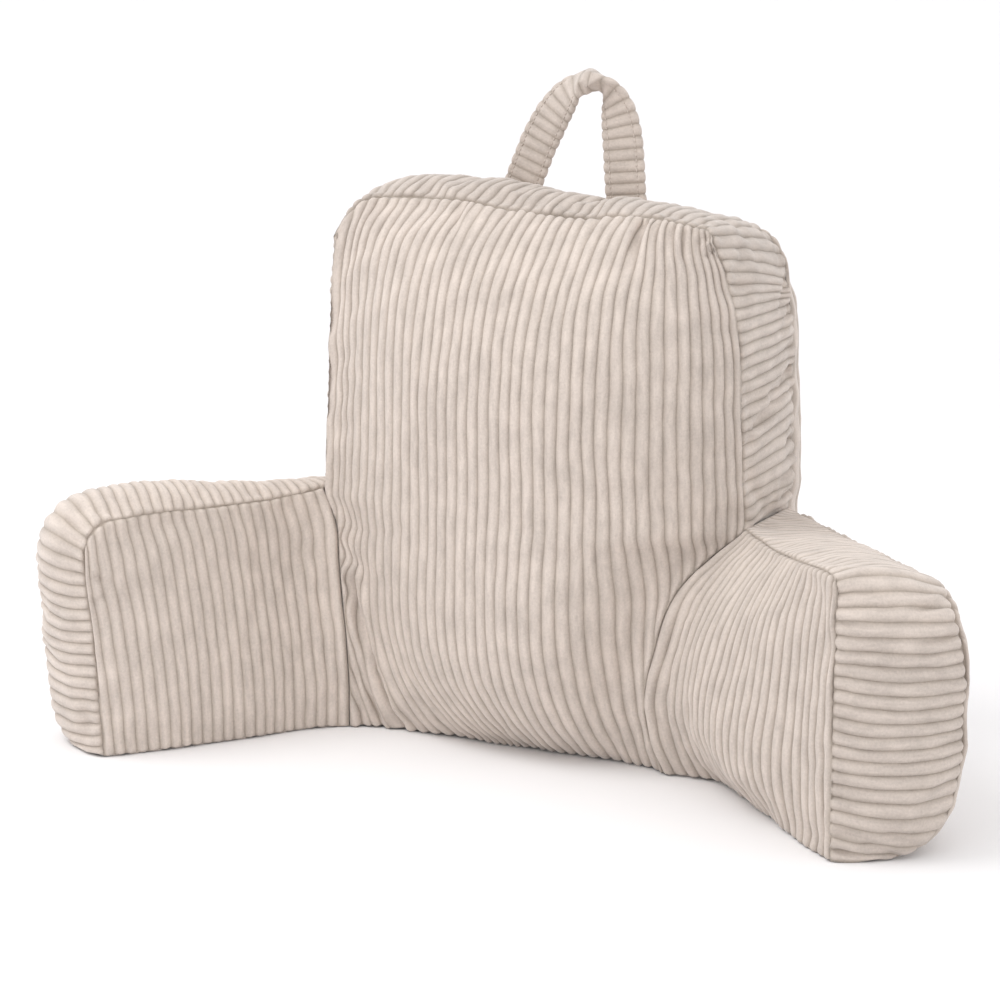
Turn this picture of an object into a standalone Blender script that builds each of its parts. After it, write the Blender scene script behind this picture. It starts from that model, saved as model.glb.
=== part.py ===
"""A reading pillow with arms: a filled backrest, two filled arms splayed out from its sides, and a strap.

Every cushion is a boxed one. Two panels face each other, and a strip joins them along the left, the top and
the right. Each panel is a function of (s, t): s runs from one end of the panel to the other, t from the
floor to the top seam. The cushions stand on the floor at z = 0, and the front looks along -Y.
"""

import math

import bmesh
import bpy
import numpy as np

# Backrest, in metres. Its front side seams stand at y = 0 above the arms.
TOP_SEAM_HEIGHT = 0.4565
TOP_SEAM_TILT = -0.058
TOP_CORNER_RADIUS = 0.045
BOXING_DEPTH = 0.130
BOXING_CROWN = 0.014
BOXING_SWELLS_OVER = 0.16
BACK_CROWN = 0.045
BACK_CROWN_SQUARENESS = 5
FRONT_CROWN = 0.094
FRONT_CROWN_SKEW = 0.4
FRONT_CROWN_SQUARENESS = 2.7
FULL_CROWN_FROM = 0.20
FULL_CROWN_TO = 0.25

# Height at which the tops of the arms join the backrest.
JOIN_HEIGHT = 0.2034

# The backrest's front side seams, from the floor up: height, distance from the middle, depth.
LEFT_SEAM = ((0.0, 0.158, -0.030), (0.105, 0.166, -0.025), (0.155, 0.177, -0.015), (0.2034, 0.199, 0.0),
             (0.30, 0.197, 0.003), (0.42, 0.187, 0.003))
RIGHT_SEAM = ((0.0, 0.147, -0.036), (0.065, 0.134, -0.048), (0.11, 0.143, -0.048), (0.155, 0.160, -0.036),
              (0.2034, 0.199, 0.0), (0.30, 0.194, 0.003), (0.42, 0.187, 0.003))
# The same up the middle of the front panel: height, depth.
MIDDLE_DEPTH = ((0.0, -0.015), (0.20, 0.015), (0.45, 0.012))
# The back panel's side seams: height, distance from the middle.
BACK_HALF_WIDTH = ((0.0, 0.190), (0.20, 0.194), (0.30, 0.199), (0.42, 0.188))
# The higher, the closer the front panel's side seams hold their own depth.
SEAM_STIFFNESS = 8

# Arms, in metres: turn outwards, length of the inner top seam, height of the inner seam at the front, width,
# fullness of the inner panel, and how far its foot stands inside its top seam.
ARMS = {
    "arm_left": dict(
        side=-1, splay=math.radians(24), length=0.236, height=0.203, width=0.088, fullness=0.013, foot=0.024
    ),
    "arm_right": dict(
        side=1, splay=math.radians(37), length=0.233, height=0.213, width=0.096, fullness=0.047, foot=0.008
    ),
}
ARM_OUTER_DROP = 0.011
# Radii of the arm's top corners, against the backrest and at the front.
ARM_CORNERS = (1e-6, 0.030)
ARM_CROWN = 0.020
ARM_SWELLS_FROM = 0.020
ARM_SWELLS_ALONG = 0.16
ARM_SWELLS_UP = 0.25
ARM_OUTER_CROWN = 0.026
ARM_OUTER_SQUARENESS = 6
ARM_OUTER_FOOT = -0.012
ARM_OUTER_FOOT_HEIGHT = 0.06
# Below 1, the inner panel's belly sits nearer the backrest. Above 1, it is narrower than a sine's arch.
ARM_BELLY_SKEW = 0.8
ARM_BELLY_POINT = 1.3
# How far from its seams an arm's panel is full.
ARM_FULL_WITHIN = 0.10
# How far along the arm the backrest's own seam still shapes it.
JUNCTION_REACH = 0.12

# Strap of the carrying loop, in metres.
STRAP_WIDTH = 0.035
STRAP_THICKNESS = 0.007
STRAP_DEPTH = 0.100
STRAP_FEET = (-0.055, 0.047)
STRAP_TWIST = 0.42
# Hull of the loop's Bezier curve, without its feet: across, and up from the top of the backrest.
STRAP_HULL = ((-0.016, 0.087), (-0.006, 0.121), (0.036, 0.115), (0.040, 0.074))

# Meshes: columns along a panel's top, rows up its side, and steps across a strip.
BACKREST_COLUMNS = 20
ROWS_BELOW_JOIN = 6
ROWS_ABOVE_JOIN = 7
ARM_COLUMNS = 14
BOXING_STEPS = 6
STRAP_STATIONS = 36
STRAP_SIDES = 10
STRAP_LOOK = 0.01

GAP = 0.0004
WELD = 1e-6
CLOTH = (0.60, 0.51, 0.45, 1.0)


def rise(share):
    """How full a stuffed panel is at this share of the way from its seam to its full depth, from 0 to 1."""
    share = np.clip(share, 0.0, 1.0)
    return (1 - (1 - share) ** 3) ** 0.8


def swell(share):
    """The height of a strip's crown across its width, from 0 at one seam through 1 in the middle to 0."""
    return 1 - np.abs(2 * share - 1) ** 2.2


def seam_point(table, height):
    """Distance from the middle and depth of a side seam at one height."""
    heights, widths, depths = zip(*table)
    return np.interp(height, heights, widths), np.interp(height, heights, depths)


def level(table, height):
    """The value that a table of heights and values gives at one height."""
    return np.interp(height, *zip(*table))


def top_path(share, start, end, height_at, radii):
    """A panel's top outline at a share of its length: along it and up, round at the corners."""
    first, last = radii
    arcs = [math.pi / 2 * first, math.pi / 2 * last]
    straight = (end - last) - (start + first)
    distance = share * (arcs[0] + straight + arcs[1])
    if distance < arcs[0]:
        turn = distance / first
        centre = start + first
        return centre - first * math.cos(turn), height_at(centre) - first + first * math.sin(turn)
    if distance <= arcs[0] + straight:
        along = start + first + distance - arcs[0]
        return along, height_at(along)
    turn = (distance - arcs[0] - straight) / last
    centre = end - last
    return centre + last * math.sin(turn), height_at(centre) - last + last * math.cos(turn)


def top_height(x):
    return TOP_SEAM_HEIGHT + TOP_SEAM_TILT * x


def backrest_outline(s):
    """x and height of the backrest's top seam, at its width above the arms."""
    half = seam_point(LEFT_SEAM, 1.0)[0]
    return top_path(s, -half, half, top_height, (TOP_CORNER_RADIUS, TOP_CORNER_RADIUS))


def row_height(t, top):
    """Rows run level up to the arms' tops at t = 0.5, and from there spread out to follow the top seam."""
    return np.interp(t, (0.0, 0.5, 1.0), (0.0, JOIN_HEIGHT, top))


def fullness_between(height, top):
    """Fullness up the backrest's panels, from nothing on the floor to nothing at the top seam."""
    return rise(height / FULL_CROWN_FROM) * rise((top - height) / (top - FULL_CROWN_TO))


def front_panel(s, t):
    x_top, top = backrest_outline(s)
    height = row_height(t, top)
    table = LEFT_SEAM if x_top < 0 else RIGHT_SEAM
    half, seam_depth = seam_point(table, height)
    across = x_top / seam_point(table, 1.0)[0]
    edge = abs(across) ** SEAM_STIFFNESS
    rim = seam_depth * edge + level(MIDDLE_DEPTH, height) * (1 - edge)
    crown = FRONT_CROWN * (1 - abs(across) ** FRONT_CROWN_SQUARENESS) * (1 + FRONT_CROWN_SKEW * across)
    peak = top_height(x_top)
    return np.array((across * half, rim - crown * fullness_between(height, peak), height))


def back_panel(s, t):
    x_top, top = backrest_outline(s)
    height = row_height(t, top)
    across = x_top / seam_point(LEFT_SEAM, 1.0)[0]
    half = level(BACK_HALF_WIDTH, height)
    crown = BACK_CROWN * (1 - abs(across) ** BACK_CROWN_SQUARENESS)
    full = fullness_between(height, top_height(x_top))
    return np.array((across * half, BOXING_DEPTH + crown * full, height))


def backrest_crown(seam):
    """Height of the strip's crown beside one point of the seam. The sides are flat against the arms."""
    return BOXING_CROWN * rise((seam[2] - JOIN_HEIGHT) / BOXING_SWELLS_OVER)


def top_of_backrest(x, y):
    """Height of the backrest's top strip over one place on the floor."""
    seam = front_panel(0.5, 1.0)[1]
    across = (y - seam) / (BOXING_DEPTH - seam)
    return top_height(x) + swell(across) * BOXING_CROWN


def arm_frame(arm):
    """The foot of the arm's inner top seam, the way the arm points, and the way its inner panel faces."""
    table = LEFT_SEAM if arm["side"] < 0 else RIGHT_SEAM
    start = np.array((arm["side"] * seam_point(table, JOIN_HEIGHT)[0], 0.0))
    forward = np.array((arm["side"] * math.sin(arm["splay"]), -math.cos(arm["splay"])))
    inward = np.array((-arm["side"] * math.cos(arm["splay"]), -math.sin(arm["splay"])))
    return start, forward, inward


def arm_inner_panel(arm):
    start, forward, inward = arm_frame(arm)
    slope = (arm["height"] - JOIN_HEIGHT) / arm["length"]

    def panel(s, t):
        along, top = top_path(s, 0.0, arm["length"], lambda u: JOIN_HEIGHT + slope * u, ARM_CORNERS)
        height = t * top
        table = LEFT_SEAM if arm["side"] < 0 else RIGHT_SEAM
        half, depth = seam_point(table, height)
        # Near the backrest the panel follows the seam that joins the two cushions.
        joined = max(0.0, 1 - along / JUNCTION_REACH) ** 2
        seam = np.array((arm["side"] * (half + GAP), depth)) - start
        peak = JOIN_HEIGHT + slope * along
        full = rise(height / ARM_FULL_WITHIN) * rise((peak - height) / ARM_FULL_WITHIN)
        belly = max(0.0, math.sin(math.pi * (along / arm["length"]) ** ARM_BELLY_SKEW)) ** ARM_BELLY_POINT
        foot = arm["foot"] * (1 - height / peak) * min(1.0, along / JUNCTION_REACH)
        place = start + forward * along + joined * seam + inward * (arm["fullness"] * belly * full + foot)
        return np.array((place[0], place[1], height))

    return panel


def arm_outer_panel(arm):
    start, forward, inward = arm_frame(arm)
    back_width = level(BACK_HALF_WIDTH, JOIN_HEIGHT)
    back = np.array((arm["side"] * (back_width + GAP), BOXING_DEPTH))
    front = start + forward * arm["length"] - inward * arm["width"]
    length = np.linalg.norm(front - back)
    ahead = (front - back) / length
    outward = np.array((-ahead[1], ahead[0])) * arm["side"]
    slope = (arm["height"] - ARM_OUTER_DROP - JOIN_HEIGHT) / length

    def panel(s, t):
        along, top = top_path(s, 0.0, length, lambda u: JOIN_HEIGHT + slope * u, ARM_CORNERS)
        height = t * top
        peak = JOIN_HEIGHT + slope * along
        full = rise(height / ARM_FULL_WITHIN) * rise((peak - height) / ARM_FULL_WITHIN)
        belly = 1 - abs(2 * along / length - 1) ** ARM_OUTER_SQUARENESS
        joined = max(0.0, 1 - along / JUNCTION_REACH) ** 2
        seam = np.array((arm["side"] * (level(BACK_HALF_WIDTH, height) - back_width), 0.0))
        foot = ARM_OUTER_FOOT * (1 - rise(height / ARM_OUTER_FOOT_HEIGHT)) * min(1.0, along / JUNCTION_REACH)
        place = back + ahead * along + joined * seam + outward * (ARM_OUTER_CROWN * belly * full + foot)
        return np.array((place[0], place[1], height))

    return panel


def arm_crown(arm):
    start, forward, _ = arm_frame(arm)

    def crown(seam):
        along = (seam[:2] - start) @ forward - ARM_SWELLS_FROM
        return ARM_CROWN * rise(along / ARM_SWELLS_ALONG) * rise(seam[2] / ARM_SWELLS_UP)

    return crown


def boxing(seam_a, seam_b, crown, side):
    """Rows of points across the strip, from one seam to the other. They stand out of it by its crown."""
    rows = []
    for i, (a, b) in enumerate(zip(seam_a, seam_b)):
        ahead = seam_a[min(i + 1, len(seam_a) - 1)] - seam_a[max(i - 1, 0)]
        out = np.cross(ahead, b - a) * side
        out *= crown(a) / np.linalg.norm(out)
        steps = [j / BOXING_STEPS for j in range(BOXING_STEPS + 1)]
        rows.append([a + (b - a) * share + out * swell(share) for share in steps])
    return rows


def add_grid(bm, rows):
    """Triangles over a grid, on the shorter diagonals: two cushions then split a shared wall the same way."""
    verts = [[bm.verts.new(point) for point in row] for row in rows]
    for low, high in zip(verts, verts[1:]):
        for a, b, c, d in zip(low, low[1:], high[1:], high):
            if (a.co - c.co).length < (b.co - d.co).length:
                bm.faces.new((a, b, c))
                bm.faces.new((a, c, d))
            else:
                bm.faces.new((a, b, d))
                bm.faces.new((b, c, d))


def outline(grid):
    """A panel's edge: up its first side, along its top and down its last side."""
    return [row[0] for row in grid] + grid[-1][1:-1] + [row[-1] for row in grid[::-1]]


def boxed_cushion(name, panel_a, panel_b, crown, side, columns, steps_t):
    """One closed body: two panels, the strip up a side, over the top and down the other, and a flat foot."""
    steps_s = [i / columns for i in range(columns + 1)]
    grid_a = [[panel_a(s, t) for s in steps_s] for t in steps_t]
    grid_b = [[panel_b(s, t) for s in steps_s] for t in steps_t]
    bm = bmesh.new()
    add_grid(bm, grid_a)
    add_grid(bm, grid_b)
    add_grid(bm, boxing(outline(grid_a), outline(grid_b), crown, side))
    add_grid(bm, boxing(grid_a[0], grid_b[0], lambda seam: 0.0, side))
    bmesh.ops.remove_doubles(bm, verts=bm.verts, dist=WELD)
    bmesh.ops.dissolve_degenerate(bm, edges=bm.edges, dist=WELD)
    bmesh.ops.recalc_face_normals(bm, faces=bm.faces)
    return add_object(name, bm)


def strap_line(share):
    """Middle of the strap along its loop, a Bezier curve: a leaning leg, a round top and a steep leg."""
    left, right = STRAP_FEET
    hull = np.array([(left, 0.0), *STRAP_HULL, (right, 0.0)])
    order = len(hull) - 1
    weights = [math.comb(order, i) * share**i * (1 - share) ** (order - i) for i in range(order + 1)]
    x, up = weights @ hull
    return np.array((x, STRAP_DEPTH, top_of_backrest(left + (right - left) * share, STRAP_DEPTH) + up))


def strap_turn(share):
    """Angle of the strap's face. It looks back on the left leg, up on top and forward on the right leg."""
    middle = (share - 0.5) / STRAP_TWIST
    return -math.pi / 2 * math.sin(math.pi / 2 * min(1.0, max(-1.0, middle)))


def squared(wave):
    """A sine or cosine pushed out towards -1 and 1, so that the ring it draws is a rounded rectangle."""
    return math.copysign(math.sqrt(abs(wave)), wave)


def handle():
    """The strap, a flat band with rounded edges that twists half round over the top of its loop."""
    bm = bmesh.new()
    rings = []
    for i in range(STRAP_STATIONS + 1):
        share = i / STRAP_STATIONS
        ahead = strap_line(min(share + STRAP_LOOK, 1.0)) - strap_line(max(share - STRAP_LOOK, 0.0))
        ahead /= np.linalg.norm(ahead)
        outward = np.array((-ahead[2], 0.0, ahead[0]))
        turn = strap_turn(share)
        face = outward * math.cos(turn) + np.array((0.0, -1.0, 0.0)) * math.sin(turn)
        across = np.cross(face, ahead)
        ring = []
        for k in range(STRAP_SIDES):
            angle = 2 * math.pi * k / STRAP_SIDES
            wide = squared(math.cos(angle)) * STRAP_WIDTH / 2
            thick = squared(math.sin(angle)) * STRAP_THICKNESS / 2
            point = strap_line(share) + across * wide + face * thick
            if i in (0, STRAP_STATIONS):
                point[2] = top_of_backrest(point[0], point[1]) + GAP
            ring.append(bm.verts.new(point))
        rings.append(ring)
    for low, high in zip(rings, rings[1:]):
        for k in range(STRAP_SIDES):
            following = (k + 1) % STRAP_SIDES
            bm.faces.new((low[k], low[following], high[following], high[k]))
    for ring in (rings[0], rings[-1]):
        bm.faces.new(ring)
    bmesh.ops.recalc_face_normals(bm, faces=bm.faces)
    return add_object("handle", bm)


def add_object(name, bm):
    mesh = bpy.data.meshes.new(name)
    bm.to_mesh(mesh)
    bm.free()
    mesh.shade_smooth()
    material = bpy.data.materials.new(name + "_corduroy")
    material.use_nodes = True
    shader = material.node_tree.nodes["Principled BSDF"]
    shader.inputs["Base Color"].default_value = CLOTH
    shader.inputs["Roughness"].default_value = 0.9
    shader.inputs["Metallic"].default_value = 0.0
    mesh.materials.append(material)
    obj = bpy.data.objects.new(name, mesh)
    bpy.context.scene.collection.objects.link(obj)
    return obj


def centre_over_origin(objects):
    """Puts the middle of the whole pillow's box over the origin, in the meshes themselves."""
    points = np.array([v.co for obj in objects for v in obj.data.vertices])
    middle = (points.min(axis=0) + points.max(axis=0)) / 2
    for obj in objects:
        for vertex in obj.data.vertices:
            vertex.co.x -= middle[0]
            vertex.co.y -= middle[1]


def main():
    for obj in list(bpy.data.objects):
        bpy.data.objects.remove(obj)
    arm_steps = [row / ROWS_BELOW_JOIN for row in range(ROWS_BELOW_JOIN + 1)]
    steps = [step / 2 for step in arm_steps]
    steps += [0.5 + row / ROWS_ABOVE_JOIN / 2 for row in range(1, ROWS_ABOVE_JOIN + 1)]
    made = [boxed_cushion("backrest", front_panel, back_panel, backrest_crown, 1, BACKREST_COLUMNS, steps)]
    for name, arm in ARMS.items():
        inner, outer = arm_inner_panel(arm), arm_outer_panel(arm)
        made.append(boxed_cushion(name, inner, outer, arm_crown(arm), arm["side"], ARM_COLUMNS, arm_steps))
    made.append(handle())
    centre_over_origin(made)


main()
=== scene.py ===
# %% [markdown]
# # A reading pillow with arms, in wide-wale corduroy
# The cushion is a tall boxed backrest with two splayed arms and a carrying strap. Its cover is one cloth:
# corduroy with wales, the soft ribs, 10 to 11 mm apart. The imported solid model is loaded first. Each
# cushion and the strap stand for one of its nodes, and the stitching of the strap is added.

# %% Load the frame
import math

import bmesh
import bpy
import numpy as np
from mathutils.kdtree import KDTree
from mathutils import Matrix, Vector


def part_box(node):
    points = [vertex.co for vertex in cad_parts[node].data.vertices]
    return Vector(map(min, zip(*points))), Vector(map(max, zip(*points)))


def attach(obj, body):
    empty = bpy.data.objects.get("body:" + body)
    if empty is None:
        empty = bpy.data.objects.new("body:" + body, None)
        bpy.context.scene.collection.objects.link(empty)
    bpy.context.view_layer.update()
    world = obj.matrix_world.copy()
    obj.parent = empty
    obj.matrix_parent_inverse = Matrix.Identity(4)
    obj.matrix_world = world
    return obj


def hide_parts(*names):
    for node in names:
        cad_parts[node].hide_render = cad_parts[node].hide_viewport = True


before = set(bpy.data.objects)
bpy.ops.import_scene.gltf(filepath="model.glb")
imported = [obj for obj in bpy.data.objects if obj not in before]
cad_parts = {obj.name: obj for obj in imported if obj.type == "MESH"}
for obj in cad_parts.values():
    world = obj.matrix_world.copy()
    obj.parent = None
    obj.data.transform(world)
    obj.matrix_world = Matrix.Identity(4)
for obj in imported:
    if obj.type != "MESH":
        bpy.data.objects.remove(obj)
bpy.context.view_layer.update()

MM = 0.001

# %% [markdown]
# The cushion is drawn about the middle of its front top seam, with the floor at zero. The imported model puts
# its origin under the middle of the footprint, so everything is moved by one fixed step just before it
# becomes a mesh.

# %% Where the drawing stands in the frame
DRAWN_TO_FRAME = np.array((-0.019476, 0.025179, 0.0))
for name in ("backrest", "arm_left", "arm_right", "handle"):
    print(name, [[round(float(v), 4) for v in corner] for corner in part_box(name)])

# %% [markdown]
# A sewn cushion has no flat side and no true circle, but all its lines are smooth. Each line is kept as a
# short table of measured points, most of them in millimetres, and read with one smooth curve through them.
# A panel that swells unevenly is a table in two directions. Cubic curves are used, and where a line turns
# back its slope is zero, so that it doesn't overshoot there.

# %% Read a smooth line from a table
# Fine places in each direction of a table in two directions.
FINE = 161


def mm(*rows):
    """Rows of millimetres as rows of metres."""
    return [tuple(round(value / 1000, 7) for value in row) for row in rows]


def clamp(value):
    return np.clip(value, 0, 1)


def smooth(table, at):
    """Reads rows of (place, value, ...) with one smooth curve through them, at any array of places."""
    rows = np.array(table, float)
    place, value = rows[:, 0], rows[:, 1:]
    step = np.diff(place)[:, None]
    slope = np.diff(value, axis=0) / step
    tangent = np.vstack([slope[:1], (slope[1:] + slope[:-1]) / 2, slope[-1:]])
    tangent[1:-1][slope[1:] * slope[:-1] <= 0] = 0.0
    at = np.clip(np.asarray(at, float), place[0], place[-1])
    i = np.clip(np.searchsorted(place, at, side="right") - 1, 0, len(place) - 2)
    u = ((at - place[i]) / step[i, 0])[..., None]
    h = step[i]
    return (
        (2 * u**3 - 3 * u**2 + 1) * value[i]
        + (u**3 - 2 * u**2 + u) * h * tangent[i]
        + (3 * u**2 - 2 * u**3) * value[i + 1]
        + (u**3 - u**2) * h * tangent[i + 1]
    )


def level(table, at):
    return smooth(table, at)[..., 0]


def smooth_sheet(heights, places, values, place, height):
    """The same for a table in two directions: a row of values for each height, a column for each place."""

    def steps(at, given):
        step = np.clip((at - given[0]) / (given[-1] - given[0]) * (FINE - 1), 0, FINE - 1.001)
        whole = step.astype(int)
        return whole, step - whole

    fine_place, fine_height = (np.linspace(given[0], given[-1], FINE) for given in (places, heights))
    across = smooth(np.column_stack([places, np.array(values, float).T]), fine_place)
    grid = smooth(np.column_stack([heights, across.T]), fine_height)
    (i, fi), (j, fj) = steps(place, places), steps(height, heights)
    low, high = ((1 - fi) * grid[row, i] + fi * grid[row, i + 1] for row in (j, j + 1))
    return (1 - fj) * low + fj * high


print("a table read half way:", level(((0, 0), (1, 10), (2, 12)), 0.5))

# %% [markdown]
# Two curves turn up everywhere on stuffed cloth: the quick rise away from a seam, and the swell between two
# seams. The filling also makes soft hills and hollows. They are made from a small grid of random heights,
# always from the same seed, smoothed with a cubic B-spline.

# %% Fullness and lumps
def rise(share):
    """From 0 at a seam to 1 where the cloth is full, steep at first."""
    share = clamp(share)
    return (1 - (1 - share) ** 3) ** 0.8


def swell(share):
    """From 0 at one seam to 1 half way and 0 at the other."""
    return 1 - np.abs(2 * clamp(share) - 1) ** 2.2


def lumps(u, v, size, seed):
    """Smooth random hills and hollows about `size` across, from about -1 to 1."""
    heights = np.random.default_rng(seed).uniform(-1, 1, (64, 64))
    x, y = np.broadcast_arrays(np.asarray(u, float) / size + 1000.0, np.asarray(v, float) / size + 1000.0)
    i, j = np.floor(x).astype(int), np.floor(y).astype(int)

    def weights(f):
        middle = (3 * f**3 - 6 * f**2 + 4) / 6, (1 + 3 * f + 3 * f**2 - 3 * f**3) / 6
        return (1 - f) ** 3 / 6, *middle, f**3 / 6

    total = 0.0
    for a, wa in enumerate(weights(x - i)):
        for b, wb in enumerate(weights(y - j)):
            total = total + wa * wb * heights[(i + a) % 64, (j + b) % 64]
    return total * 1.8


print("fullness a fifth of the way from a seam:", round(float(rise(0.2)), 3))

# %% [markdown]
# The front panel of the backrest hangs between a top seam that dips to the right and two side seams. Below
# the arms' tops the sides are sewn to the arms, which push them in. The wales start evenly at the top seam,
# run down almost straight, and the bulging right arm cuts some of them off. Near the floor the cloth is
# dragged sideways.

# %% Backrest: the measured lines
TOP_HALF = 0.187
# Across, height.
TOP_SEAM = mm(
    (-187, 464), (-115, 464), (-64, 462), (-26, 456), (12, 452), (46, 449), (87, 453), (120, 451),
    (152, 447), (187, 443.5),
)
# Corners at the top: left, right.
CORNER_RADIUS = (0.045, 0.012)
# The thread has gathered the right top corner and pulled the side seam in below it. Height, how far in.
PULLED_CORNER = mm(
    (340, 0), (360, 0.4), (380, 1.7), (396, 5.3), (412, 10), (427.5, 17.2), (439.3, 21), (460, 22.5),
)
BACK_CORNER_RADIUS = (0.045, 0.042)
# Across, how far the back seam hangs below the front one.
BACK_TOP_DROP = mm((-187, 0), (0, 0), (50, 2), (90, 3), (130, 4), (187, 4))
# Height, how far out, how deep.
LEFT_SEAM = mm(
    (0, 158, -30), (30, 158, -30), (57, 159, -30), (84, 162, -28), (103, 166, -25), (124, 171, -20),
    (153, 177, -14), (174, 181, -9), (190, 190, -4), (206, 200, 0), (250, 199, 2), (300, 197, 3),
    (400, 191, 3), (420, 188, 3), (480, 187, 3),
)
RIGHT_SEAM = mm(
    (0, 147, -36), (28, 138, -43), (64, 134, -49), (109, 143, -49), (156, 158, -38), (185, 182, -18),
    (203.4, 200, 0), (231, 198, 2), (290, 194, 3), (331, 193, 3), (375, 189, 3), (403, 186.5, 3),
    (419, 186.5, 3), (480, 187, 3),
)
# Height, depth of the front without its bulge.
MIDDLE_DEPTH = mm((0, -15), (100, 4), (200, 16), (300, 18), (400, 14), (470, 12))
# Height, how far out.
BACK_SEAM_LEFT = mm((0, 190), (200, 192), (300, 195), (420, 187), (480, 187))
BACK_SEAM_RIGHT = mm(
    (0, 190), (200, 190), (222, 194), (275, 193), (316, 192), (347, 191), (378, 188), (400, 184),
    (480, 184),
)
BOXING_DEPTH = 0.127
JOIN_HEIGHT = 0.2034
# Half widths of the front: at mid height on the left and on the right, and at the floor.
HALF_LEFT, HALF_RIGHT, HALF_JOINED = 0.197, 0.195, 0.200
FRONT_CROWN, CROWN_LEAN = 0.094, 0.4
print("front panel", 2 * TOP_HALF, "m wide at its top seam")

# %% Backrest: its seams
def top_height(x, radii=CORNER_RADIUS):
    """Height of the top seam, with its rounded corners."""
    radius = np.where(x < 0, *radii)
    into = np.clip(np.abs(x) - (TOP_HALF - radius), 0, radius)
    return level(TOP_SEAM, x) - (radius - np.sqrt(np.maximum(radius**2 - into**2, 0)))


print("top seam at the middle", top_height(np.array(0.0)).round(4), "m high")

# %% Backrest: its sides and bulge
def side_seam(side, z):
    """How far out and how deep the front side seam lies at a height."""
    return np.where((side < 0)[..., None], smooth(LEFT_SEAM, z), smooth(RIGHT_SEAM, z))


def back_half_width(side, z):
    return np.where(side < 0, level(BACK_SEAM_LEFT, z), level(BACK_SEAM_RIGHT, z))


def front_at(x, z, crest):
    """The bulging front cloth at a place seen from the front. The crown leans to the right."""
    rim = side_seam(x, z)
    alpha = x / rim[..., 0]
    edge = np.abs(alpha) ** 8
    depth = rim[..., 1] * edge + level(MIDDLE_DEPTH, z) * (1 - edge)
    crown = FRONT_CROWN * (1 - np.abs(alpha) ** 2.7) * (1 + CROWN_LEAN * alpha)
    return np.stack([x, depth - crown * rise(z / 0.2) * rise((crest - z) / 0.21), z], -1)


print("left seam at a height of 0.25 m:", side_seam(np.array(-1.0), np.array(0.25)).round(3))

# %% [markdown]
# Each wale is followed from the top seam to the floor. `WALE_X` says where the wale that starts at a share
# of the top seam hangs at mid height. `DRIFT` is how far the floor drags it to the right. At a side seam
# the lines are held half a millimetre inside it, so a wale that the seam cuts off ends there.

# %% Backrest: the run of the wales
FRONT_WALES = 40
# Share of the top seam from its middle, place across.
WALE_X = (
    (-1, -0.197), (-0.95, -0.187), (-0.9, -0.178), (-0.85, -0.17), (-0.8, -0.1605), (-0.75, -0.1495),
    (-0.6, -0.1155), (-0.4, -0.0705), (-0.2, -0.027), (0, 0.0155), (0.2, 0.0585), (0.4, 0.1),
    (0.6, 0.138), (0.75, 0.1635), (0.85, 0.1785), (0.95, 0.1905), (1, 0.195),
)
# Place across, drift at the floor, and height, share of it.
DRIFT = mm(
    (-200, 30), (-150, 34), (-100, 37), (-60, 32), (-17, 19), (20, 12), (70, 7), (110, 8), (150, 6),
    (200, 0),
)
DRIFT_BY_HEIGHT = (
    (0, 1.3), (0.02, 1), (0.04, 0.66), (0.06, 0.3), (0.08, 0.11), (0.1, 0.03), (0.12, 0), (0.2, 0),
)
# Within the last 50 mm the wales lean in at the top seam: how far, by place, and how much of it, by
# distance.
LEAN_AT_TOP = mm(
    (-187, 0), (-181, 5), (-173, 12), (-154, 16), (-100, 14.5), (-74, 13), (-60, 7), (-50, 4), (-30, 4),
    (0, 2), (30, -2), (55, -4), (78, 0), (98, 0), (107, -4), (118, -8), (133, -10.5), (153, -9),
    (165, -4), (175, -1), (187, 0),
)
LEAN_BY_DISTANCE = (
    (0, 1), (0.004, 0.95), (0.01, 0.82), (0.018, 0.55), (0.027, 0.28), (0.038, 0.08), (0.05, 0),
    (0.3, 0),
)
# Beside the left arm they crowd within this distance of the seam, down to this share of their pitch.
CROWDED, SQUEEZED = 0.034, 0.8
# There they also twist: how far, and in waves how long. It is most at a height and a distance from the seam,
# and each is followed by how far the twist reaches to either side of it.
TWIST, TWIST_WAVE = 0.0034, 0.036
TWIST_HEIGHT, TWIST_UP, TWIST_IN, TWIST_ACROSS = 0.146, 0.034, 0.01, 0.013
# Low on the left the sideways drag begins early: how much of it, at what height, and how far up it reaches.
EARLY, EARLY_HEIGHT, EARLY_UP = 0.17, 0.068, 0.02
PANEL_HEIGHT = 0.46
LEVEL_ROWS = 0.21
SEAM_GAP = 0.0005
print("front:", FRONT_WALES, "wales, rows level up to", LEVEL_ROWS, "m")

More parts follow.
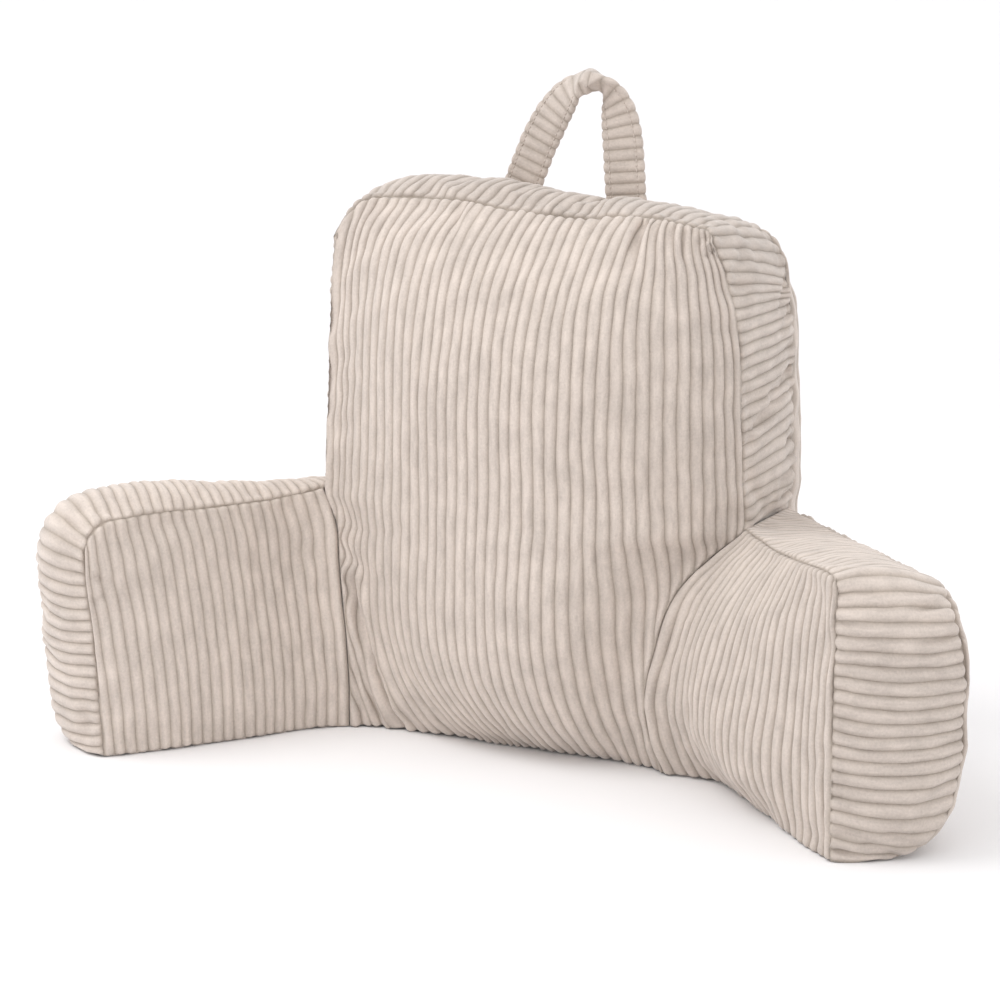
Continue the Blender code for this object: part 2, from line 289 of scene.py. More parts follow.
# %% Backrest: its front and back
def front_panel(a, t):
    """Points of the front panel: a from -1 to 1 picks the wale, t from 0 to 1 goes up it."""
    hang = level(WALE_X, a)
    half = np.where(hang < 0, HALF_LEFT, HALF_RIGHT)
    x_top = hang / half * TOP_HALF
    crest = top_height(x_top + level(LEAN_AT_TOP, x_top))
    # Rows are level beside the arms, so that wales cut off by a seam end on the same points.
    z = t * PANEL_HEIGHT
    over = (z - LEVEL_ROWS) / (PANEL_HEIGHT - LEVEL_ROWS) * (crest - LEVEL_ROWS)
    z = np.where(z < LEVEL_ROWS, z, LEVEL_ROWS + over)
    side = side_seam(hang, z)[..., 0]
    above = hang / half * side
    above = above + level(LEAN_AT_TOP, above) * level(LEAN_BY_DISTANCE, crest - z)
    early = EARLY * np.exp(-(((z - EARLY_HEIGHT) / EARLY_UP) ** 2)) * clamp(-(hang + 0.08) / 0.06)
    below = hang / half * HALF_JOINED + level(DRIFT, hang) * (level(DRIFT_BY_HEIGHT, z) + early)
    x = np.where(z > JOIN_HEIGHT, above, below)
    # Beside the left arm they crowd together and twist; near the floor they spread from the seam again.
    near = CROWDED - side
    first = level(DRIFT, -HALF_LEFT) * level(DRIFT_BY_HEIGHT, z) - HALF_JOINED
    squeeze = np.maximum(SQUEEZED, CROWDED / (CROWDED - side - first))
    x = np.where((z <= JOIN_HEIGHT) & (below < near), near - (near - below) * squeeze, x)
    into = x + side
    twist = np.exp(-(((z - TWIST_HEIGHT) / TWIST_UP) ** 4) - ((into - TWIST_IN) / TWIST_ACROSS) ** 2)
    x = x + TWIST * twist * np.sin(2 * math.pi * z / TWIST_WAVE + 60 * into + 0.6)
    x = x + 0.0007 * lumps(x * 2.4, z, 0.03, 11) * clamp((side - np.abs(x)) / 0.02)
    x = np.where((z < LEVEL_ROWS) & (np.abs(x) > side - SEAM_GAP - 0.00025), np.sign(x) * side, x)
    x = np.clip(x, SEAM_GAP - side, side - SEAM_GAP)
    pull = level(PULLED_CORNER, z) * clamp((x - side + 0.075) / 0.075) ** 1.15
    points = front_at(x, z, crest)
    points[..., 0] -= pull
    return points


# The back panel: how far it bulges, and how far its sides run out past their seams.
BACK_CROWN, BACK_OVER = 0.046, 0.013


def back_panel(a, t):
    """Points of the back panel, which bulges evenly and is steep beside its seams."""
    x_top = a * TOP_HALF
    crest = top_height(x_top, BACK_CORNER_RADIUS) - level(BACK_TOP_DROP, x_top)
    z = t * crest
    full = rise(z / 0.20) * rise((crest - z) / 0.16)
    over = BACK_OVER * np.sin(math.pi * clamp((np.abs(a) - 0.6) / 0.4) ** 1.9) * np.sign(a)
    over = over * rise((z - 0.15) / 0.045) * rise((crest - z) / 0.10)
    x = a * back_half_width(a, z) + over
    crown = BACK_CROWN * (1 - np.abs(a) ** 11) * full
    return np.stack([x, BOXING_DEPTH + crown, z], -1)


print("front middle bulges to", front_panel(np.array(0.0), np.array(0.5)).round(3))

# %% [markdown]
# An arm is a boxed cushion too: an inner panel, an outer panel and a strip over the top and down the front
# end. The inner panel starts on the backrest's seam, beside which it is stuffed full, so its bulge is a
# table. The two arms are not twins: the right one is splayed more and far fuller.

# %% Arms: the measured lines
# Each arm's sizes and tables. By place along its inner panel: `top` and `crown_back`. Along the outer one:
# `outer_top`. By height: `bow` and `lean` of its front end. By distance along the strip's first seam:
# `sag`, and `matched`, the height or distance on the second. `bulge` has a row for each of `heights`, a
# column for each of `places`. Folds are start, end, half width and depth. The three brightness factors are
# painted light and shade, for the panel and for the strip below and above: each makes the colour lighter or
# darker to match how that part is lit.
ARMS = {
    "arm_left": dict(
        side=-1, splay=0.42, length=0.236, width=0.09, radius=(0.026, 0.032), wales=23, rubbed=0.1,
        brushed=(((-0.03, 0.185), (0.02, 0.02), 0.35),), lie=(1.05, 1.03, 1.08), full=0.75, tuck=0.035,
        places=(0, 0.01, 0.03, 0.054, 0.096, 0.141, 0.186, 0.22, 0.236),
        heights=(0, 0.15, 0.3, 0.5, 0.7, 0.85, 1),
        top=mm((0, 206), (66, 202), (118, 202), (160, 203), (236, 201)),
        outer_top=mm((0, 200), (100, 196), (220, 196), (350, 194)),
        bow=mm((0, 2), (20, -4), (40, -3), (70, -4), (100, -5), (140, -8), (170, -8), (200, -4)),
        lean=mm((0, -9), (70, -5), (120, -1), (155, 3), (200, 3)),
        folds=mm((-212, 136.4, -203, 144, 3.2, 3.4), (-211, 156, -200, 150, 3.2, 3)),
        end_folds=mm((-297.4, 183.7, -316, 191, 3.4, 3.4), (-300, 196, -318, 201, 3.4, 3)),
        sag=mm((0, 0), (20, 1), (80, 3), (150, 2), (200, 0), (500, 0)),
        crown_back=mm((0, 8), (30, 11), (80, 16), (160, 23), (240, 21)),
        matched=mm((0, 0), (50, 51), (100, 104), (150, 158), (190, 201), (240, 250), (425.8, 416.3)),
        bulge=(
            (50, 47, 40, 34, 29, 21, 13, 5, 0),
            (50, 46, 41, 36, 32, 26, 17, 7, 0),
            (49, 43, 37, 33, 31, 26, 18, 8, 0),
            (40, 33, 27, 24, 24, 22, 16, 8, 0),
            (30, 22, 15, 12, 15, 15, 12, 6, 0),
            (23, 14, 7, 5, 7, 8, 7, 4, 0),
            (0, 0, 0, 0, 0, 0, 0, 0, 0),
        ),
    ),
    "arm_right": dict(
        side=1, splay=0.645, length=0.233, width=0.0925, radius=(0.01, 0.042), wales=24, rubbed=0.7,
        brushed=(((-0.066, 0.168), (0.04, 0.026), 0.5),), lie=(0.985, 0.95, 1.075), full=1.1,
        tuck=0.038, places=(0, 0.014, 0.029, 0.061, 0.104, 0.147, 0.19, 0.215, 0.233),
        heights=(0, 0.08, 0.15, 0.3, 0.48, 0.63, 0.78, 0.9, 1),
        top=mm((0, 203.4), (75, 203), (144, 207), (205, 212.5), (233, 213.5)),
        outer_top=mm((0, 200), (100, 198.5), (220, 198.5), (350, 197.5)),
        bow=mm((0, -2), (30, 1), (50, 5), (80, 8.5), (120, 8.5), (150, 7), (170, 3), (200, 0)),
        lean=mm((0, -1), (200, 0)),
        folds=(),
        end_folds=mm(
            (343.5, 177.5, 366, 177, 2.8, 2.4), (370, 147.5, 387, 141.2, 2.4, 1.4),
            (406, 189, 386, 186, 2.8, 2.6), (410, 166, 390, 164, 2.8, 2.6), (343, 24, 366, 18, 3, 3.2),
            (342, 10, 360, 4, 3, 3), (380, 6, 366, 13, 2.8, 2.2), (390, 15, 381, 22, 2.8, 1.8),
        ),
        sag=mm((0, 0), (20, 2), (60, 4), (120, 3.5), (170, 1), (200, 0), (500, 0)),
        crown_back=mm((0, 0), (30, 2), (80, 5), (160, 7), (240, 7)),
        matched=mm(
            (0, 0), (50, 47), (120, 116), (160, 156), (190, 186), (219, 213), (250, 243), (442.2, 412),
        ),
        bulge=(
            (64, 42, 26, 15, 11, 9, 7.6, 2, -2),
            (72, 54, 40, 33, 26, 18, 8, 3, -1),
            (78, 60, 50, 43, 38, 27, 9, 3, 0),
            (85, 68, 60, 55, 46, 33, 11, 5, 0),
            (77, 66, 60, 54, 43, 30, 11, 5, 0),
            (68, 59, 53, 48, 35, 27, 10, 4, 0),
            (55, 47, 40, 34, 26, 21, 9, 3, 0),
            (24, 24, 22, 18, 14, 11, 5, 2, 0),
            (0, 0, 0, 0, 0, 0, 0, 0, 0),
        ),
    ),
}
for name, arm in ARMS.items():
    print(name, "splayed", round(math.degrees(arm["splay"])), "degrees, inner panel", arm["length"], "m long")

# %% Arms: their panels
# The outer panel: where it meets the backrest, how far it bulges, and how far its foot is drawn in.
OUTER_HALF, OUTER_CROWN, OUTER_FOOT = 0.191, 0.026, 0.012
JOIN_GAP = 0.0001


def arm_lines(arm):
    """Where the arm starts, the way it points, and the way its inner panel faces, seen from above."""
    start = np.array([arm["side"] * HALF_JOINED, 0.0])
    forward = np.array([arm["side"] * math.sin(arm["splay"]), -math.cos(arm["splay"])])
    inward = np.array([-arm["side"] * math.cos(arm["splay"]), -math.sin(arm["splay"])])
    return start, forward, inward


def round_corner(along, length, radius):
    """How far a rounded corner pulls the top seam down near the front end."""
    into = np.clip(along - (length - radius), 0, radius)
    return radius - np.sqrt(np.maximum(radius**2 - into**2, 0))


def inner_panel(arm):
    start, forward, inward = arm_lines(arm)

    def panel(s, t):
        along = s * arm["length"]
        crest = level(arm["top"], along) - round_corner(along, arm["length"], arm["radius"][0])
        z = t * crest
        bulge = MM * smooth_sheet(arm["heights"], arm["places"], arm["bulge"], along, t)
        seam = smooth(LEFT_SEAM if arm["side"] < 0 else RIGHT_SEAM, z)
        join = np.stack([arm["side"] * (seam[..., 0] + JOIN_GAP), seam[..., 1]], -1) - start
        fade = clamp(1 - along / 0.06)[..., None] ** 2
        slip = (join @ forward)[..., None] * forward * fade
        held = clamp(1 - along / 0.012)[..., None] ** 2
        held = ((join @ inward) - bulge)[..., None] * inward * held
        ahead = along + level(arm["lean"], z) * clamp((along - 0.08) / (arm["length"] - 0.08)) ** 1.5
        xy = start + ahead[..., None] * forward + bulge[..., None] * inward + slip + held
        return np.concatenate([xy, z[..., None]], -1)

    return panel


def outer_panel(arm):
    start, forward, inward = arm_lines(arm)
    side = arm["side"]
    back = np.array([side * (OUTER_HALF + JOIN_GAP), BOXING_DEPTH])
    front = start + forward * arm["length"] - inward * arm["width"]
    length = np.linalg.norm(front - back)
    ahead = (front - back) / length
    away = np.array([-ahead[1], ahead[0]]) * side

    def panel(s, t):
        along = s * length
        crest = level(arm["outer_top"], along) - round_corner(along, length, arm["radius"][1])
        z = t * crest
        bulge = OUTER_CROWN * (1 - np.abs(2 * s - 1) ** 6) * rise(z / 0.1) * rise((crest - z) / 0.09)
        foot = -OUTER_FOOT * (1 - rise(z / 0.06)) * clamp(along / 0.08)
        joined = clamp(1 - along / 0.1) ** 2 * (back_half_width(np.array(side), z) - OUTER_HALF) * side
        # At the front end the seam bows, and the bottom corner is rounded.
        low = clamp(1 - z / arm["tuck"])
        tuck = arm["tuck"] * (1 - np.sqrt(1 - low**2))
        moved = (level(arm["bow"], z) - tuck) * clamp((along - length + 0.10) / 0.10) ** 2
        leaned = level(arm["lean"], z) * clamp((along - length + 0.15) / 0.15) ** 1.5
        xy = back + ahead * along[..., None] + away * (bulge + foot)[..., None] - inward * moved[..., None]
        xy = xy + forward * leaned[..., None]
        return np.concatenate([xy + np.stack([joined, 0 * joined], -1), z[..., None]], -1)

    return panel, length


for name, arm in ARMS.items():
    arm["inner"] = inner_panel(arm)
    arm["outer"], arm["outer_length"] = outer_panel(arm)
    print(name, "outer panel", round(arm["outer_length"], 3), "m long")

# %% [markdown]
# Every panel becomes a grid that follows its own wales: eight columns to a wale, closest together in the
# groove, and rows that are closest together at the seams, where the ends of the wales are rounded. A row is
# spaced again along the cloth, so that the wales lie evenly over a bulge.

# %% Grids that follow the wales
# The columns of one wale, as shares of its pitch.
WALE_STEPS = (0.0, 0.06, 0.16, 0.32, 0.5, 0.68, 0.84, 0.94)
ROW_STEP, BACK_ROW_STEP, ARM_ROW_STEP = 0.0052, 0.0062, 0.0045
# The pitch of the wales on the backrest's strip and the arms' outer panels, and on the arms' strips.
PITCH, ARM_STRIP_PITCH = 0.0102, 0.01
# The rows beside a seam, as distances from it.
NEAR_SEAM = (0.0, 0.0008, 0.0018, 0.003, 0.0045, 0.0065, 0.009, 0.0125, 0.017)


def length_along(points, axis):
    """Distance walked along each line of points."""
    gaps = np.linalg.norm(np.diff(points, axis=axis), axis=-1)
    pad = [(0, 0)] * gaps.ndim
    pad[axis] = (1, 0)
    return np.cumsum(np.pad(gaps, pad), axis=axis)


def wale_columns(wales):
    """Phases of the columns: whole numbers are grooves."""
    return np.append((np.arange(wales)[:, None] + np.array(WALE_STEPS)).ravel(), wales)


def inside(at, length):
    """Places along a line, kept a little inside the seams at its two ends."""
    return np.clip(at, SEAM_GAP, length - SEAM_GAP)


def rows_along(length, step=ROW_STEP):
    """Shares of the way along a wale, closest together at both ends and held inside the seams."""
    near = np.array(NEAR_SEAM)
    count = max(2, round((length - 2 * near[-1]) / step))
    middle = np.linspace(near[-1], length - near[-1], count)[1:-1]
    return inside(np.concatenate([near, middle, length - near[::-1]]), length) / length


def sheet(panel, across, up):
    """The panel's grid: a column for each place across it, a row for each place up it."""
    return panel(across + 0 * up[:, None], up[:, None] + 0 * across)


def evened(panel, shares, t, start):
    """The panel's grid with each row spaced again, so that its columns stand evenly along the cloth."""
    fine = np.linspace(0, 1, 201)
    along = length_along(sheet(panel, fine, t), 1)
    held = np.clip(shares, start / along[:, -1:], 1 - SEAM_GAP / along[:, -1:])
    places = np.stack([np.interp(row, way / way[-1], fine) for row, way in zip(held, along)])
    return panel(places, t[:, None] + 0 * places)


print("rows on a 0.45 m wale:", len(rows_along(0.45)))

# %% [markdown]
# A seam between two panels is sewn as a narrow strip of triangles between the two edges, which need not
# have the same number of points. Walking along both edges and always stepping the one that is behind does
# it. The distance from each point to the nearest seam is kept with the cloth: wales end there, and the
# cloth puckers beside it.

# %% Lay panels and sew them
def to_seam(points):
    """Distances along the cloth to the nearest edge and the nearest side, and the lengths down and across."""
    down, across = length_along(points, 0), length_along(points, 1)
    end = np.minimum(down, down[-1:] - down)
    side = np.minimum(across, across[:, -1:] - across)
    return np.minimum(end, side), side, down, across


def unit(vectors):
    return vectors / np.maximum(np.linalg.norm(vectors, axis=-1, keepdims=True), 1e-12)


def outward(points, centre):
    """Unit normals of a grid, facing away from the middle of the cushion."""
    normal = unit(np.cross(np.gradient(points, axis=1), np.gradient(points, axis=0)))
    return normal if (normal * (points - centre)).sum() > 0 else -normal


# What is kept for each point. `sunk` is the share of a wale's height that is let into the cloth, `tall`
# scales the height, `pinch` says how much a seam draws the cloth in, `slack` how much of the creases it
# takes, and the last one is painted light and shade: a factor that makes each panel's colour lighter or
# darker to match how it is lit.
GIVEN = {"sunk": 0.5, "tall": 1.0, "pinch": 1.0, "slack": 1.0, "lie": 1.0}
LAYERS = ("wale", "hem", "along", *GIVEN)
print("kept for each point:", ", ".join(LAYERS))


def new_cloth():
    return {key: [] for key in ("points", "faces", *LAYERS)}


def lay(cushion, points, wale, **given):
    """Adds a grid to the cushion and returns the numbers of its points."""
    first = sum(len(part) for part in cushion["points"])
    rows, columns = points.shape[:2]
    number = first + np.arange(rows * columns).reshape(rows, columns)
    hem, _, down, _ = to_seam(points)
    cushion["points"].append(points.reshape(-1, 3))
    for key, value in {"wale": wale, "hem": hem, "along": down, **GIVEN, **given}.items():
        cushion[key].append(np.broadcast_to(value, (rows, columns)).ravel())
    corners = number[:-1, :-1], number[:-1, 1:], number[1:, 1:], number[1:, :-1]
    cushion["faces"] += np.stack(corners, -1).reshape(-1, 4).tolist()
    return number


def sew(cushion, *seams):
    """Joins pairs of edges. The two edges of a pair run the same way."""
    points, faces = np.concatenate(cushion["points"]), cushion["faces"]
    for seam in seams:
        one, other = (np.asarray(edge)[np.append(True, np.diff(edge) != 0)].tolist() for edge in seam)
        a, b = (length_along(points[edge], 0) for edge in (one, other))
        a, b = a / a[-1], b / b[-1]
        i = j = 0
        while i < len(one) - 1 or j < len(other) - 1:
            if j == len(other) - 1 or (i < len(one) - 1 and a[i + 1] <= b[j + 1]):
                faces.append([one[i], one[i + 1], other[j]])
                i += 1
            else:
                faces.append([one[i], other[j + 1], other[j]])
                j += 1

# %% [markdown]
# The cloth is never quite smooth. Beside a seam the thread draws it into short puckers, and everywhere the
# filling is a little uneven. Folds are put in one by one, each along a short line, where the cloth is pulled.
# All of them fade out at the seams, so the panels still meet.

# %% Puckers, lumps and folds
PUCKER = 0.0016
LUMP = 0.0016
# Within about this distance of a seam all of them fade out.
SEAM_FADE = 0.004
print("puckers up to", PUCKER, "m, lumps up to", LUMP, "m")

# %% Work a panel
def fold_depth(flat, folds):
    """How far the listed folds push the cloth in. A row is a start, an end, a half width and a depth."""
    depth = np.zeros(flat.shape[:-1])
    for row in folds:
        start, end, (width, deep) = np.array(row[:2]), np.array(row[2:4]), row[4:]
        way = end - start
        share = clamp(((flat - start) @ way) / (way @ way))
        away = np.linalg.norm(flat - start - share[..., None] * way, axis=-1) / width
        taper = 1 - 0.6 * share**2
        depth += taper * (deep * np.exp(-(away**2)) - 0.45 * deep * np.exp(-((away - 1.9) ** 2) * 1.4))
    return depth


def brushed(flat, spots):
    """The wales' height that is left. A spot is a middle, two half sizes and the share brushed away."""
    left = np.ones(flat.shape[:-1])
    for middle, size, much in spots:
        away = ((flat - np.array(middle)) / np.array(size)) ** 2
        left *= 1 - much * np.exp(-away.sum(-1))
    return left


def worked(points, centre, seed, folds=(), flat=(0, 2)):
    """The panel with its puckers, lumps and folds. `flat` names the two directions the folds are drawn in."""
    hem, side, down, across = to_seam(points)
    free = 1 - np.exp(-hem / SEAM_FADE)
    gathered = lumps(down, across, 0.013, seed) * np.exp(-hem / 0.014) * free * 1.9
    move = PUCKER * gathered + LUMP * free * lumps(down, across, 0.055, seed + 1)
    move = move - fold_depth(points[..., list(flat)], folds) * free
    # The wales wander a little from side to side too, most near the seams.
    aside = unit(np.gradient(points, axis=1))
    wander = (0.0005 + 0.0008 * np.exp(-hem / 0.018)) * free * lumps(down, across, 0.017, seed + 2)
    wander = wander * clamp(side / 0.012)
    return points + outward(points, centre) * move[..., None] + aside * wander[..., None]

# %% [markdown]
# The boxing strip joins the edges of two panels. Its wales run across it, from seam to seam. Each wale is
# placed by how far along the two seams its ends lie, so it can lean. The strip swells outwards between its
# seams.

# %% A boxing strip
def line_reader(points):
    """A function that gives the point at any distance along a line of points, and the line's length."""
    way = length_along(points, 0)

    def read(distance):
        return np.stack([np.interp(distance, way, points[:, i]) for i in range(3)], -1)

    return read, way[-1]


def boxing_strip(first, second, at_first, at_second, crown, width_steps, centre, sag=0.0):
    """Grid of a strip: rows run from the first seam to the second, one column for each wale place."""
    a, b = first(at_first), second(at_second)
    share = width_steps[:, None, None]
    flat = a + (b - a) * share
    normal = outward(np.stack([a + (b - a) * s for s in np.linspace(0, 1, 5)]), centre).mean(axis=0)
    kernel = np.hanning(33)
    kernel /= kernel.sum()
    padded = np.pad(normal, ((16, 16), (0, 0)), mode="edge")
    normal = np.stack([np.convolve(padded[:, i], kernel, mode="valid") for i in range(3)], -1)
    normal, along = unit(normal), unit(np.gradient(flat, axis=1))
    return flat + (normal * crown[:, None] - along * np.reshape(sag, (-1, 1))) * swell(share)

# %% [markdown]
# The backrest is built now: front, back, the strip up one side, over the top and down the other, and the
# bottom. The strip's crown follows the measured outline of the top. Lower down, where the arms are sewn on,
# it is flat.

# %% Backrest: its folds, crowns and pairs
BACKREST_CENTRE = np.array((0.0, 0.03, 0.22))
# Folds: start, end, half width, depth. On the front they are drawn by place across and height.
FRONT_FOLDS = mm(
    (104.1, 451, 111.3, 415, 4.4, 6), (115.9, 451, 120.9, 431, 3, 2.5),
    (63.2, 450.5, 65.1, 437, 3.5, 2.2), (130.8, 444.3, 133.8, 423, 3, 2.5),
    (142.1, 440, 146.4, 423, 2.8, 2.8), (150, 442, 155, 423, 2.8, 2.8), (164, 437, 157, 433, 3.3, 4.2),
    (166.5, 427, 159, 423, 3.3, 4), (160, 442.5, 155.5, 435, 3.2, 3.6), (-61, 456, -57, 436, 3.5, 2.2),
    (-164, 129, -136.5, 62.1, 4.8, 6.2), (-112, 4, -137.5, 64.5, 4.8, 5.2), (-130, 4, -151, 70, 4, 3.4),
    (-147, 4, -159, 75, 3.6, 2.8),
)
# Brushed spots: middle, half sizes, share of the height that is gone.
FRONT_BRUSHED = (((-0.048, 0.444), (0.014, 0.022), 0.65), ((0.160, 0.432), (0.010, 0.010), 0.4))
# On the right side the slack cloth sags in slanting folds. These are drawn by depth and height.
GUSSET_FOLDS = mm(
    (126.5, 399, 90, 376, 4.5, 4.5), (126.5, 376, 88, 354, 4, 3.5), (122, 322, 58, 304, 5, 4.5),
    (26, 286, 98, 303, 5, 4), (126.5, 236, 85, 228, 4, 4.5), (126.5, 218, 90, 215, 3.5, 4.5),
    (126.5, 262, 100, 262, 3.5, 3), (126.5, 345, 104, 340, 3.5, 3), (10, 398, 50, 402, 4, 2),
)
# Place across, and height at the side, with how far the strip swells.
TOP_CROWN = mm(
    (-190, 10), (-161, 11), (-137, 15), (-112, 16), (-88, 15), (-55, 17), (-16, 15.5), (7, 13.5),
    (36, 13.5), (62, 15), (87, 9.5), (114, 6), (138, 4), (165, 4), (190, 8),
)
SIDE_CROWN = mm((0, 0), (190, 0), (203.4, 0), (230, 2), (280, 4), (380, 5), (450, 8))
# Beside a seam that is hidden by another cushion the cloth isn't drawn in, and this is how far that
# reaches.
JOIN_FADE = 0.02
# Which places on the front seam and the back seam one wale joins: by height up the left side, across the
# top, and down the right side, where the wales hang lower at the back near the top and higher further down.
LEFT_PAIRS = mm((0, 0), (100, 100), (203.4, 203.4), (300, 300), (380, 380))
TOP_PAIRS = mm((-115, -115), (0, -4), (115, 108))
RIGHT_PAIRS = mm(
    (410, 406), (370, 375), (335, 345), (300, 315), (260, 274), (223.4, 230), (100, 100), (0, 0),
)
print("folds placed by hand:", len(FRONT_FOLDS), "on the front,", len(GUSSET_FOLDS), "on the side")

# %% Backrest: its outline
def panel_outline(panel):
    """A panel's edge as a line of points: up one side, along the top and down the other side."""
    up, ends = np.linspace(0, 1, 400), np.full(400, 1.0)
    top = panel(np.linspace(-1.0, 1.0, 400), ends)
    return np.concatenate([panel(-ends, up), top[1:], panel(ends, up[::-1])[1:]])


def seam_pairs(one, other):
    """Distances along two outlines that belong together, from the pairs above."""

    def places(outline, which):
        way = length_along(outline, 0)
        third = len(outline) // 3
        left, top, right = slice(0, third + 1), slice(third, 2 * third + 1), slice(None, 2 * third, -1)
        read = []
        for pairs, part, axis in ((LEFT_PAIRS, left, 2), (TOP_PAIRS, top, 0), (RIGHT_PAIRS, right, 2)):
            read.append(np.interp([pair[which] for pair in pairs], outline[part, axis], way[part]))
        return np.concatenate(read)

    return np.column_stack([places(one, 0), places(other, 1)])


print("outline of the front", length_along(panel_outline(front_panel), 0)[-1].round(3), "m long")

# %% Backrest: sew it together
def build_backrest():
    cushion = new_cloth()
    front_wale = wale_columns(FRONT_WALES)
    a, t = 2 * front_wale / FRONT_WALES - 1, rows_along(PANEL_HEIGHT)
    grid = sheet(front_panel, a, t)
    beside = clamp(1 - to_seam(grid)[1] / JOIN_FADE)
    joined = beside * clamp((JOIN_HEIGHT + 0.005 - grid[..., 2]) / 0.01)
    left = brushed(grid[..., [0, 2]], FRONT_BRUSHED)
    grid = worked(grid, BACKREST_CENTRE, 21, FRONT_FOLDS)
    # Painted shade: the front's colour is darker towards its right side, which faces away from the light.
    lie = 1.025 - 0.08 * clamp((a - 0.7) / 0.14)
    front = lay(cushion, grid, front_wale, tall=left, pinch=1 - joined, slack=0.5, lie=lie)
    grid = sheet(back_panel, np.clip(a, -0.997, 0.997), rows_along(PANEL_HEIGHT, BACK_ROW_STEP))
    back = lay(cushion, worked(grid, BACKREST_CENTRE, 31), front_wale, slack=0.3)

    outlines = panel_outline(front_panel), panel_outline(back_panel)
    (first, length), (second, back_length) = map(line_reader, outlines)
    wales = round(length / PITCH)
    wale = wale_columns(wales)
    at = inside(wale / wales * length, length)
    at_back = inside(level(seam_pairs(*outlines), at), back_length)
    place = first(at)
    on_top = clamp((place[:, 2] - 0.4) / 0.03)
    crown = level(TOP_CROWN, place[:, 0]) * on_top + level(SIDE_CROWN, place[:, 2]) * (1 - on_top)
    grid = boxing_strip(first, second, at, at_back, crown, rows_along(BOXING_DEPTH), BACKREST_CENTRE)
    shown = 1 - clamp((JOIN_HEIGHT - place[:, 2]) / 0.004)
    folds = fold_depth(grid[..., [1, 2]], GUSSET_FOLDS) * (grid[..., 0] > 0.15)
    grid = worked(grid, BACKREST_CENTRE, 41)
    to_edge = clamp(to_seam(grid)[0] / SEAM_FADE)
    grid = grid - outward(grid, BACKREST_CENTRE) * (folds * to_edge)[..., None]
    # Painted shade: the strip's colour is a little darker, most over the top.
    strip = lay(cushion, grid, wale, tall=shown, pinch=shown, lie=0.965 - 0.06 * on_top)

    low, high = (panel(a, np.zeros(len(a))) for panel in (front_panel, back_panel))
    foot = low + (high - low) * np.linspace(0.004, 0.996, 8)[:, None, None]
    bottom = lay(cushion, foot, front_wale, sunk=1.0)

    sew(
        cushion, (np.concatenate([front[:, 0], front[-1], front[::-1, -1]]), strip[0]),
        (np.concatenate([back[:, 0], back[-1], back[::-1, -1]]), strip[-1]), (front[0], bottom[0]),
        (back[0], bottom[-1]), (strip[:, 0], bottom[:, 0]), (strip[:, -1], bottom[:, -1]),
    )
    print("backrest:", wales, "wales round the strip,", sum(map(len, cushion["points"])), "points")
    return cushion


backrest = build_backrest()

# %% [markdown]
# An arm's strip starts at the floor of the front end, climbs, and runs back over the top to the backrest.
# Its outer edge is longer, because the arms splay, so the last wales end against the backrest. A hidden
# wall closes the arm there. Its edges meet the backrest, and between them it is set back a little.

# %% Arms: the seams of their strips
# Height, how far the strip swells.
ARM_CROWN_UP = mm((0, 4), (40, 10), (100, 13), (200, 13))
ARM_STRIP_ROWS = rows_along(0.09, ARM_ROW_STEP)


def arm_seams(arm):
    """Readers of the strip's two seams, the first one's length with and without the wall, and the pairs."""
    # The first seam: up the front end, back along the top, then along the wall to the outer panel.
    up, one = np.linspace(0, 1, 300), np.full(300, 1.0)
    top, outer_up = arm["inner"](up[::-1], one), arm["outer"](one, up)
    wall_top = top[-1] + (arm["outer"](0 * one, one)[-1] - top[-1]) * up[:, None]
    first, length = line_reader(np.concatenate([arm["inner"](one, up), top[1:], wall_top[1:]]))
    second, outer_length = line_reader(np.concatenate([outer_up, arm["outer"](up[::-1], one)[1:]]))
    # The second numbers are heights as far as the corner: the tucked bottom makes the outer seam longer.
    way = length_along(outer_up, 0)
    matched = np.array([*arm["matched"], (length, 0.0)])
    heights = matched[:, 1]
    on_end = np.interp(heights, outer_up[:, 2], way)
    matched[:, 1] = np.where(heights < outer_up[-1, 2], on_end, heights + way[-1] - outer_up[-1, 2])
    matched[-1, 1] = outer_length
    return first, second, length, length - np.linalg.norm(wall_top[-1] - wall_top[0]), matched


print("first seam of the left arm's strip", round(arm_seams(ARMS["arm_left"])[2], 3), "m long")

# %% Arms: their strips
def arm_strip(arm, cushion, centre, seed):
    """Lays the strip over the top and down the front end. Returns the numbers of its points."""
    start, forward, _ = arm_lines(arm)
    first, second, length, seam_length, matched = arm_seams(arm)
    wales = round(length / ARM_STRIP_PITCH)
    wale = wale_columns(wales)
    at = inside(wale / wales * length, length)
    at_second = inside(level(matched, at), matched[-1, 1])
    place = first(at)
    # How far the strip swells goes by height up the front end, then by the distance from the backrest.
    corner = arm["inner"](np.array(1.0), np.array(1.0))[2]
    ahead = np.clip((place[:, :2] - start) @ forward, 0, None)
    blend = clamp((at - corner + 0.02) / 0.04)
    crown = level(ARM_CROWN_UP, place[:, 2]) * (1 - blend) + level(arm["crown_back"], ahead) * blend
    grid = boxing_strip(first, second, at, at_second, crown, ARM_STRIP_ROWS, centre, level(arm["sag"], at))
    rubbed = clamp((at - corner + 0.005) / 0.03) * arm["rubbed"]
    at_wall = clamp((at - seam_length + 0.004) / 0.004) * clamp(1 - length_along(grid, 0) / JOIN_FADE)
    grid = worked(grid, centre, seed, arm["end_folds"])
    # Painted light and shade: the strip's colour is scaled by one factor below and another above.
    low, high = arm["lie"][1:]
    lie = level(((0.0, low), (0.14, low), (0.2, high), (0.3, high)), place[:, 2])
    slack = 0.7 - 0.5 * rubbed
    print("strip of an arm:", wales, "wales")
    return lay(cushion, grid, wale, tall=1 - rubbed, pinch=1 - at_wall, slack=slack, lie=lie)

# %% Arms: sew them together
ARM_HEIGHT = 0.205
# How far the hidden wall stands back between its edges, so that it doesn't run into the backrest.
WALL_SET_BACK = 0.0022


